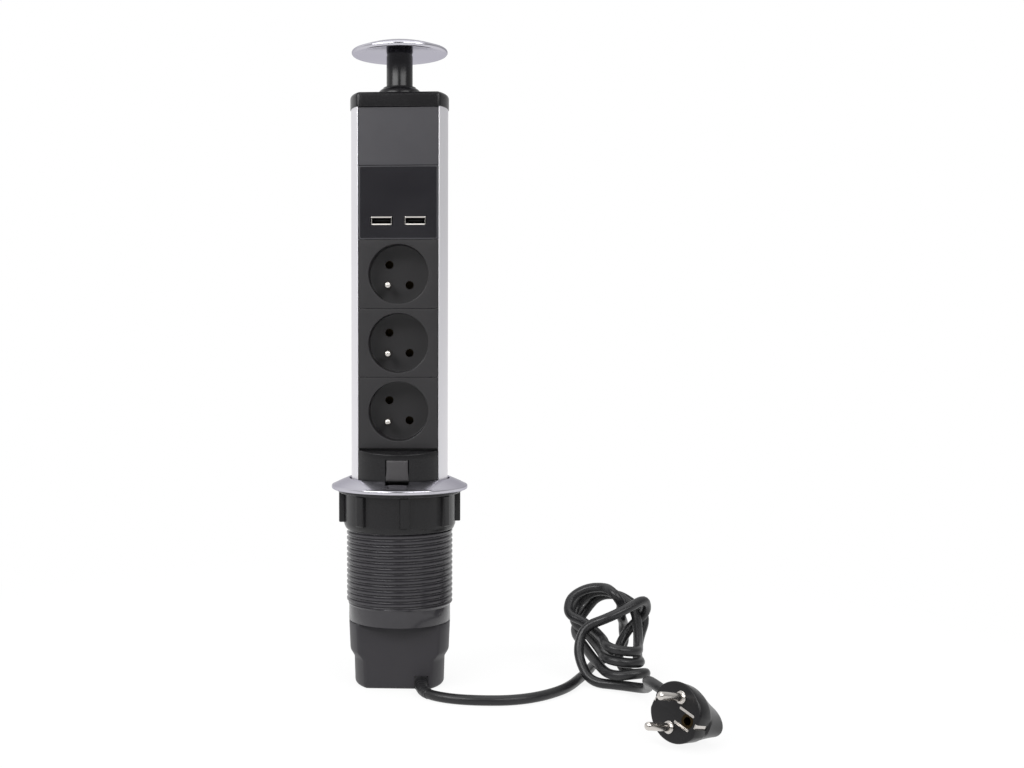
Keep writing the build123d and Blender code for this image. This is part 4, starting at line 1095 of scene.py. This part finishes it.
def thread(root, start, stop, count, per):
    """A right-hand screw as one grid with count columns, and per rows in a pitch p. Row j of column i stands
    at z = start - p + p (j / per + i / count) and r = root + (crest - root) w(j / per), with w a rounded
    ridge once a pitch. The last column joins the first one a whole pitch higher. Both ends are held to
    their height and run out to the root."""
    pitch, ridge_foot, ridge_flank, run_in, run_out = sizes().thread_pitch, 0.78, 0.42, 2.2, 1.6
    rows = int((stop - start) / pitch + 2) * per
    i = np.arange(count)[None, :]
    j = np.arange(rows)[:, None]
    z = np.clip(start - pitch + pitch * (j / per + i / count), start, stop)
    phase = np.abs((j / per) % 1.0 - 0.5) * 2
    ridge = eased((ridge_foot - phase) / ridge_flank)
    fade = eased((z - start) / run_in) * eased((stop - z) / run_out)
    r = root + (THREAD_CREST - root) * ridge * fade
    t = i / count * tau + 0 * z
    points = np.stack([r * np.cos(t), r * np.sin(t), z], axis=-1).reshape(-1, 3)
    index = np.arange(rows * count).reshape(rows, count)
    seam = np.stack([index[:-1 - per, -1], index[per:-1, 0], index[per + 1:, 0], index[1:-per, -1]], axis=-1)
    return points, [list(face) for face in np.concatenate([patches(index), seam])]


class TOWER_OT_nut(TowerPiece, Operator):
    """Clamp nut: a round body with wings to turn it by"""

    bl_idname = "tower.nut"
    bl_label = "Clamp nut"

    def execute(self, context):
        low, high = span("clamp_nut")
        bore, core, foot, foot_height = THREAD_CREST + THREAD_GAP, 37.4, 36.3, 3.0
        wing, wing_height, count = 40.8, 19.8, sizes().wing_count
        turns, shares = wing_outline(core, wing, count)
        base, top = high[2] - wing_height, high[2]
        steps = [(bore, low[2], 0.0), (foot - 0.2, low[2], 0.0), (foot, low[2] + 0.3, 0.0),
                 (core, low[2] + foot_height, 0.0), (core, base - 0.02, 0.0), (core, base, 0.88),
                 (core, base + 0.35, 1.0), (core, top - 0.4, 1.0), (core - 0.2, top - 0.1, 0.93),
                 (core - 0.4, top, 0.8), (bore, top, 0.0)]
        rings = []
        for radius, height, rise in steps:
            r = radius + shares * rise * (wing - core)
            rings.append(level(np.column_stack([r * np.cos(turns), r * np.sin(turns)]), height))
        piece("nut", [skin(rings, closed=True)], "black_moulding", "clamp_nut", ["clamp_nut"], 30)
        return {"FINISHED"}


def wing_outline(core, wing, count):
    """Turns round the nut and how far each stands out, 0 on the core and 1 on a wing. A wing's side is at a
    distance x from its middle line, so its turn is arcsin(x / (core + (wing - core) share))."""
    half, first = 3.0, radians(7.5 - 90)
    side = np.array([(half + 0.5, 0.0), (half + 0.12, 0.06), (half, 0.25), (half, 0.86), (half - 0.14, 0.96),
                     (half - 0.45, 1.0), (half - 1.6, 1.0), (half / 4, 1.0)])
    flank = np.arcsin(side[:, 0] / (core + (wing - core) * side[:, 1]))
    turn = np.concatenate([-flank, [0.0], flank[::-1]])
    between = np.linspace(turn[-1], tau / count + turn[0], 12)[1:-1]
    turn = np.concatenate([turn, between])
    share = np.concatenate([side[:, 1], [1.0], side[::-1, 1], np.zeros(len(between))])
    turns = np.concatenate([turn + first + tau * k / count for k in range(count)])
    return turns, np.tile(share, count)


class TOWER_OT_base(TowerPiece, Operator):
    """Base cup: D-shaped, stepped in at the foot, with the cord's outlet low in front"""

    bl_idname = "tower.base"
    bl_label = "Base cup"

    def execute(self, context):
        low, high = span("base_cup")
        top, flat, corner, fillet = high[2], -low[1], 3.5, 2.8
        foot_radius, waist_radius, shoulder_radius, rim_radius = 29.85, 30.4, 33.2, 34.0
        waist_z, step_z, step_height, shoulder_z = 18.5, 18.0, 6.6, 24.0
        inner_radius, inner_flat, pocket, gap = 32.4, 18.7, 3.4, 0.1
        outlet_low, outlet_high = span("cord_grommet")
        left, right, roof = outlet_low[0] - gap, outlet_high[0] + gap, outlet_high[2] + gap
        turn = np.linspace(0, pi / 2, 7)
        heights = np.concatenate([fillet * (1 - np.cos(turn)), [roof - 0.01, roof, 14.0, 17.4],
                                  np.linspace(step_z, step_z + step_height, 12),
                                  [30.0, 38.0, top - 0.5, top - 0.15, top]])
        insets = np.zeros(len(heights))
        insets[:len(turn)] = fillet * (1 - np.sin(turn))
        insets[-3:] = (0.0, 0.15, 0.5)
        lower = foot_radius + (waist_radius - foot_radius) * heights / waist_z
        upper = shoulder_radius + (rim_radius - shoulder_radius) * (heights - shoulder_z) / (top - shoulder_z)
        radii = lower + (upper - lower) * eased((heights - step_z) / step_height)
        rings = []
        for z, radius, inset in zip(heights, radii, insets):
            shape = d_with_stops(radius - inset, flat - inset, max(corner - inset * 0.6, 1.0), (left, right))
            between = (shape[:, 0] > left + 0.002) & (shape[:, 0] < right - 0.002)
            sunk = between & (shape[:, 1] < 0) & (z < roof)
            shape[:, 1] = np.where(sunk, np.maximum(shape[:, 1], -flat + pocket), shape[:, 1])
            rings.append(level(shape, z))
        inside = d_with_stops(inner_radius, inner_flat, 1.0, (left, right))
        rings += [level(inside, top), level(inside, shoulder_z)]
        piece("base", [skin(rings)], "base_black", "column", ["base_cup"], 30)
        return {"FINISHED"}


def d_with_stops(radius, flat, corner, stops):
    """The outline of round_d, doubled at two places of its front, so that walls there are sharp."""
    shape = round_d(radius, flat, corner, 96, 9, 40)
    front = np.flatnonzero(shape[:, 1] < -flat + 1e-6)
    ends = shape[front[0], 0], shape[front[-1], 0]
    left, right = stops[0], min(stops[1], ends[1] - 0.05)
    runs = [np.linspace(ends[0], left, 22), [left + 0.004], np.linspace(left + 0.3, right - 0.3, 13),
            [right - 0.004]]
    runs.append(np.linspace(right, ends[1], len(front) - sum(len(run) for run in runs)))
    shape[front, 0] = np.concatenate(runs)
    return shape


class TOWER_OT_cord(TowerPiece, Operator):
    """Mains cord, its hank, its strain relief and its plug"""

    bl_idname = "tower.cord"
    bl_label = "Cord and plug"

    def execute(self, context):
        pieces = make_plug()
        boot = make_boot()
        cord = make_cord_line()
        make_relief(cord)
        return {"FINISHED"}


CORD_EXIT = (15.4, -22.0, 4.2)
# The cord along the floor, into the hank, and on to the boot
FLOOR_RUN = (CORD_EXIT, (15.4, -32.0, 4.2), (19.8, -42.0, 3.35), (28.0, -49.4, 3.35), (41.0, -54.8, 3.35),
             (57.6, -56.3, 3.35), (72.7, -54.9, 3.35), (86.6, -48.8, 3.35), (99.3, -38.3, 3.35),
             (111.8, -21.8, 3.35), (121.6, 2.5, 3.35), (129.5, 24.5, 3.35))
HANK_LEAD = ((134.6, 40.0, 3.6), (143.5, 52.0, 5.2), (155.0, 53.0, 13.0), (155.5, 47.5, 28.5),
             (151.8, 30.5, 41.5))
HANK_ENTRY, HANK_EXIT = (0.35, 0.94, 0.02), (0.7, -0.7, 0.08)
# Six places that each turn of the hank goes through: where it starts, its step in a turn, and its fold
HANK_PLACES = (
    ((135.4, 35.5, 58.8), (4.6, 6.4, -3.7), (-1.9, -46.8, -1.0)),
    ((115.2, 33.0, 47.2), (5.9, 12.0, -5.6), (-11.7, -63.8, -0.2)),
    ((129.2, 15.4, 38.1), (1.3, 5.6, -9.4), (-9.7, -36.2, 3.5)),
    ((149.1, -16.2, 30.3), (1.3, -0.5, -7.6), (-1.2, -5.1, 1.0)),
    ((161.1, 8.2, 33.6), (0.6, 6.7, -8.1), (-10.2, 4.5, 14.2)),
    ((150.6, 24.4, 52.1), (7.1, 12.8, -4.3), (-1.7, -31.3, 7.5)),
)
HANK_SIXTHS, HANK_FOLD_TURN, HANK_FOLD_SPAN = 22, 2.0, 0.83
TAIL_RUN = ((161.0, -45.0, 10.5), (158.8, -60.0, 17.0), (155.8, -75.0, 22.8))


def unit(way):
    """A direction of length 1."""
    way = np.asarray(way, float)
    return way / np.linalg.norm(way)


def hank_place(count):
    """Where the hank is after so many sixths of a turn: start + step turn + fold s^2 (3 - 2 s)."""
    first, step, fold = (np.array(part) for part in HANK_PLACES[count % 6])
    turn = count / 6
    return first + step * turn + fold * eased((turn - HANK_FOLD_TURN) / HANK_FOLD_SPAN)


def hank_headings(places):
    """Directions at the places: that of the circle through each place and its two neighbours."""
    back, ahead = places[1:-1] - places[:-2], places[2:] - places[1:-1]
    ways = back / (back**2).sum(1, keepdims=True) + ahead / (ahead**2).sum(1, keepdims=True)
    ways /= np.linalg.norm(ways, axis=1, keepdims=True)
    return np.vstack([unit(HANK_ENTRY), ways, unit(HANK_EXIT)])


def bend_points(start, way, end, last):
    """Spline points of a bend from start along way to end along last. One stands where the two directions
    meet, and a bend of more than about 70 degrees has two, at c / (2 (1 + cos h)) from its ends."""
    chord = end - start
    length = np.linalg.norm(chord)
    half = chord.dot(way) / length
    if half < 0.8:
        reach = length / (2 * (1 + half))
        return [start + way * reach, end - last * reach]
    return [start + way * length / (2 * half)]


def hank_points():
    """The hank's spline points, two to four to a sixth of a turn. Between two places the cord makes two
    bends that meet half-way, with corners at r = c^2 / (c.s + sqrt((c.s)^2 + 2 c^2 (1 - a.b))) from the
    places, where c is the chord, a and b are the directions, and s = a + b."""
    places = np.array([*HANK_LEAD, *(hank_place(count) for count in range(-1, HANK_SIXTHS))])
    ways = hank_headings(places)
    points = []
    for start, way, end, last in zip(places, ways, places[1:], ways[1:]):
        chord = end - start
        both = chord.dot(way + last)
        reach = chord.dot(chord) / (both + sqrt(both**2 + 2 * (1 - way.dot(last)) * chord.dot(chord)))
        first, second = start + way * reach, end - last * reach
        middle, across = (first + second) / 2, unit(second - first)
        points += bend_points(start, way, middle, across) + bend_points(middle, across, end, last)
    return places[0], ways[0], places[-1], ways[-1], points


def make_cord_line():
    """The cord as one open spline of order 3 with a round bevel, as thick as its points say."""
    start, entry, end, leave, turns = hank_points()
    tip, axis = boot_end()
    route = [*FLOOR_RUN, start - entry * 9.0, *turns, end + leave * 11.0, *TAIL_RUN, tip + axis * 12.0, tip]
    curve = bpy.data.curves.new("cord", "CURVE")
    curve.dimensions = "3D"
    spline = curve.splines.new("NURBS")
    spline.points.add(len(route) - 1)
    spline.points.foreach_set("co", np.column_stack([np.array(route) * MM, np.ones(len(route))]).ravel())
    spline.points.foreach_set("radius", np.full(len(route), sizes().cord_diameter / 2 * MM))
    spline.order_u = 3
    spline.use_endpoint_u = True
    spline.resolution_u = 10
    curve.bevel_depth = 1.0
    curve.bevel_resolution = 5
    curve.use_fill_caps = True
    cord = bpy.data.objects.new("cord", curve)
    bpy.context.scene.collection.objects.link(cord)
    curve.materials.append(material("cord_black"))
    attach(cord, "column")
    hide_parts("mains_cord", "cord_hank", "cord_tail")
    return cord


def cord_places(cord, reach):
    """Points of the cord's spline up to a length from its start, in millimetres."""
    bevel, cord.data.bevel_depth = cord.data.bevel_depth, 0.0
    bpy.context.view_layer.update()
    line = bpy.data.meshes.new_from_object(cord)
    cord.data.bevel_depth = bevel
    bpy.context.view_layer.update()
    points = np.empty(len(line.vertices) * 3)
    line.vertices.foreach_get("co", points)
    bpy.data.meshes.remove(line)
    points = points.reshape(-1, 3) / MM
    along = np.concatenate([[0.0], np.cumsum(np.linalg.norm(np.diff(points, axis=0), axis=1))])
    want = np.linspace(0.0, reach, 61)
    return np.stack([np.interp(want, along, points[:, k]) for k in range(3)], axis=1)


def tube(line, radii, around=32):
    """Rings of given radii along a line, each square to it, with x' level: p + r (cos t u + sin t w)."""
    ways = np.gradient(line, axis=0)
    ways /= np.linalg.norm(ways, axis=1, keepdims=True)
    level_way = np.cross(ways, (0.0, 0.0, 1.0))
    level_way /= np.linalg.norm(level_way, axis=1, keepdims=True)
    up = np.cross(level_way, ways)
    t = np.linspace(0, tau, around, endpoint=False)
    ring = level_way[:, None] * np.cos(t)[None, :, None] + up[:, None] * np.sin(t)[None, :, None]
    return line[:, None] + ring * np.asarray(radii)[:, None, None]


def grooved(start, fall, groove, count, share):
    """Radii of a tapered relief with ring grooves: r = a - b s - g max(0, -cos 2 pi n s)^6."""
    return start - fall * share - groove * np.maximum(0, -np.cos(tau * count * share)) ** 6


def make_relief(cord):
    """The grommet: a block in the outlet, and a relief that tapers along the cord's first 22 mm."""
    centre, half = front_view("cord_grommet")
    block_back, block_front, relief_back, reach = span("cord_grommet")[1][1], -20.35, -19.0, 22.0
    outline = rounded_box(*half, 1.0, 4, 4) + centre
    block = [np.column_stack([outline[:, 0], np.full(len(outline), y), outline[:, 1]])
             for y in (block_back, block_front)]
    line = np.vstack([[CORD_EXIT[0], relief_back, CORD_EXIT[2]], cord_places(cord, reach)])
    share = np.concatenate([[0.0], np.linspace(0, 1, len(line) - 1)])
    radii = grooved(4.05, 0.55, 0.25, 5, share)
    radii[-1] = sizes().cord_diameter / 2 + 0.02
    piece("grommet", [skin(block), skin(tube(line, radii))], "black_rubber", "column", ["cord_grommet"])


# The plug's own frame: the middle of its face, the line of its pins, and the way they point
PLUG_MIDDLE = np.array((163.3, -136.6, 20.5))
PLUG_OUT = unit((-0.747, -0.631, 0.210))
PLUG_LINE = np.array((-0.342, 0.093, -0.935))
PLUG_LINE = unit(PLUG_LINE - PLUG_OUT * PLUG_LINE.dot(PLUG_OUT))
PLUG_ACROSS = np.cross(PLUG_OUT, PLUG_LINE)
PLUG_RADIUS, PLUG_FLAT, PIN_OFFSET, EARTH_OFFSET = 18.5, 17.2, 9.5, 10.0
GROOVE_DEPTH, GROOVE_HALF = 1.6, 1.6
BOOT_WAY, BOOT_LENGTH = unit((-0.36, 0.92, 0.12)), 18.0


def on_plug(points):
    """Points given along the line of the pins, across it and out of the face, put in their place."""
    points = np.asarray(points, float)
    return PLUG_MIDDLE + points @ np.array([PLUG_LINE, PLUG_ACROSS, PLUG_OUT])


def boot_end():
    """The end of the boot where the cord goes in, and the boot's direction."""
    return on_plug([(0.0, -12.0, -17.5)])[0] + BOOT_WAY * BOOT_LENGTH, BOOT_WAY


def plug_outline(groove):
    """A circle cut by two flats, v = f and v = -f, with a groove of some depth in the middle of each flat."""
    reach = sqrt(PLUG_RADIUS**2 - PLUG_FLAT**2)
    side = [*np.linspace(reach - 0.4, GROOVE_HALF + 0.01, 7), GROOVE_HALF, GROOVE_HALF]
    floor = np.linspace(GROOVE_HALF - 0.3, 0.3 - GROOVE_HALF, 5)
    run = np.concatenate([side, floor, -np.array(side[::-1])])
    sunk = np.zeros(len(run))
    sunk[len(side) - 1:1 - len(side)] = groove
    top = np.column_stack([run, PLUG_FLAT - sunk])
    turn = np.degrees(np.arcsin(PLUG_FLAT / PLUG_RADIUS)) - 1.5
    left = arc((0, 0), PLUG_RADIUS, 180 - turn, 180 + turn, 33)
    return np.concatenate([top, left, -top, -left])


def plug_ellipse(half_line, half_across, like):
    """An ellipse with a point for each point of an outline, at the same turn."""
    t = np.arctan2(like[:, 1] / half_across, like[:, 0] / half_line)
    return np.column_stack([half_line * np.cos(t), half_across * np.sin(t)])


def make_plug():
    """Every piece of the plug but its boot."""
    made = [make_plug_body()]
    for number, side in enumerate((-1, 1), start=1):
        made += [make_pin(number, side), make_earth_contact(number, side)]
    return [*made, make_earth_frame(), make_earth_sleeve()]


def make_plug_body():
    """Body from its face over a rolled edge and down its rim, then drawn in to the back. Behind the rim it
    runs from one ellipse to another by 1.15 s - 0.15 s^2. A well in the face takes the earth sleeve."""
    rim, body, roll, narrow, well_depth = 9.0, 27.5, 1.0, (0.93, 1.0), 12.0
    outline, plain = plug_outline(GROOVE_DEPTH) * narrow, plug_outline(0.0) * narrow
    rings = [level(outline * (1 - roll * (1 - sin(a)) / PLUG_RADIUS), -roll * (1 - cos(a)))
             for a in np.linspace(0, pi / 2, 5)]
    rings += [level(outline * (1 - 0.009 * w, 1.0), -w) for w in (4.0, rim)]
    start = plug_ellipse(PLUG_RADIUS * 0.85, PLUG_FLAT + 0.9, plain)
    stop = plug_ellipse(9.0, 15.0, plain) + (2.5, 0.0)
    shares = np.linspace(0.0, 1.0, 12)
    shapes = [plain * (0.90, 0.985)]
    shapes += [start + (stop - start) * (1.15 * share - 0.15 * share**2) for share in shares[1:]]
    rings += [level(shape, -rim - 0.6 - (body - rim - 1.6) * share) for shape, share in zip(shapes, shares)]
    rings.append(level(stop * 0.9, -body))
    points, faces = skin([on_plug(ring) for ring in rings])
    hole = arc((0.0, EARTH_OFFSET), 2.9, 0, 345, 24)
    well = [on_plug(level(hole, w)) for w in (0.0, -well_depth)]
    parts = [(points, [faces[-1]] + faces[:-2]),
             pierced(rings[0], [hole], lambda p: on_plug(level(p, 0.0))),
             open_skin(well), (well[1], [list(range(len(hole)))])]
    return piece("plug", parts, "plug_black", "column", ["plug_body"], 30)


def make_pin(number, side):
    """A round pin with an eased tip, standing in a collar."""
    pin, collar, root, length, ease = 2.4, 3.7, -6.0, 19.0, 1.7
    tip = [(pin - ease * (1 - cos(a)), length - ease + ease * sin(a)) for a in np.linspace(0, pi / 2, 6)]
    profile = [(0.0, root), (pin, root), (pin, -0.02), (collar, -0.02), (collar, 0.55), (collar - 0.25, 0.8),
               (pin + 0.5, 0.8), (pin, 1.1), *tip, (0.0, length)]
    points, faces = lathe(profile, 40, closed=False, centre=(side * PIN_OFFSET, 0.0))
    return piece(f"pin_{number}", [(on_plug(points), faces)], "bright_nickel", "column",
                 [f"plug_pin_{number}"])


def make_earth_contact(number, side):
    """A bright strip that stands in the groove of a flat."""
    half_thick = 0.4
    bar = rounded_box(1.5, half_thick, 0.15, 3, 3) + (0.0, side * (PLUG_FLAT - GROOVE_DEPTH + half_thick))
    strip = skin([on_plug(level(bar, w)) for w in (0.0, -4.0, -8.0, -11.5)])
    return piece(f"earth_contact_{number}", [strip], "bright_nickel", "column",
                 [f"plug_earth_strip_{number}"])


def make_earth_frame():
    """Two bright bars that stand out of the plug's face, one on each side of the earth hole."""
    bars = []
    for side in (-1, 1):
        bar = rounded_box(0.75, 5.7, 0.6, 4, 3) + (side * 4.4, 7.7)
        bars.append(skin([on_plug(level(bar, w)) for w in (-1.0, 0.35)]))
    return piece("earth_frame", bars, "bright_nickel", "column")


def make_earth_sleeve():
    """A sleeve in the earth hole, with a flat collar on the plug's face, in brass darkened as painted shade."""
    bore, wall, collar, depth = 2.45, 2.85, 4.2, -11.0
    profile = [(bore, depth), (wall, depth), (wall, 0.0), (collar, 0.0), (collar - 0.05, 0.12),
               (bore + 0.15, 0.12), (bore, 0.0)]
    points, faces = lathe(profile, 32, centre=(0.0, EARTH_OFFSET))
    return piece("earth_sleeve", [(on_plug(points), faces)], "contact_brass", "column")


def make_boot():
    """A straight tapered boot with ring grooves, whose end the cord goes into."""
    tip, way = boot_end()
    share = np.linspace(0, 1, 61)
    line = tip + way * (BOOT_LENGTH * (share - 1))[:, None]
    radii = grooved(5.6, 1.1, 0.5, 4, share)
    radii[-1] -= 0.4
    return piece("boot", [skin(tube(line, radii))], "black_rubber", "column", ["plug_boot"])


class TOWER_OT_rest(TowerPiece, Operator):
    """CAD nodes whose own shape stays, with their finishes"""

    bl_idname = "tower.rest"
    bl_label = "Carried nodes"

    def execute(self, context):
        for node, made in frame["nodes"].items():
            if not made.hide_render:
                carried(node)
        return {"FINISHED"}


class TOWER_PT_pieces(Panel):
    """Lists the pieces, their sizes and their colours"""

    bl_label = "Socket tower"
    bl_space_type = "VIEW_3D"
    bl_region_type = "UI"
    bl_category = "Tower"

    def draw(self, context):
        column = self.layout.column()
        for operator in OPERATORS:
            column.operator(operator.bl_idname)
        for group in (context.scene.tower_sizes, context.scene.tower_colours):
            for name in group.bl_rna.properties.keys():
                if name not in ("rna_type", "name"):
                    column.prop(group, name)


OPERATORS = (TOWER_OT_stage, TOWER_OT_cord, TOWER_OT_knob, TOWER_OT_cap, TOWER_OT_column, TOWER_OT_panel,
             TOWER_OT_charging, TOWER_OT_sockets, TOWER_OT_latch, TOWER_OT_flange, TOWER_OT_sleeve,
             TOWER_OT_nut, TOWER_OT_base, TOWER_OT_rest)
CLASSES = (TowerSizes, TowerColours, *OPERATORS, TOWER_PT_pieces)


def register():
    for kind in CLASSES:
        bpy.utils.register_class(kind)
    bpy.types.Scene.tower_sizes = PointerProperty(type=TowerSizes)
    bpy.types.Scene.tower_colours = PointerProperty(type=TowerColours)


def unregister():
    del bpy.types.Scene.tower_colours
    del bpy.types.Scene.tower_sizes
    for kind in reversed(CLASSES):
        bpy.utils.unregister_class(kind)


def main():
    """Build every piece in order."""
    register()
    for operator in OPERATORS:
        group, name = operator.bl_idname.split(".")
        getattr(getattr(bpy.ops, group), name)()


if __name__ == "__main__":
    main()
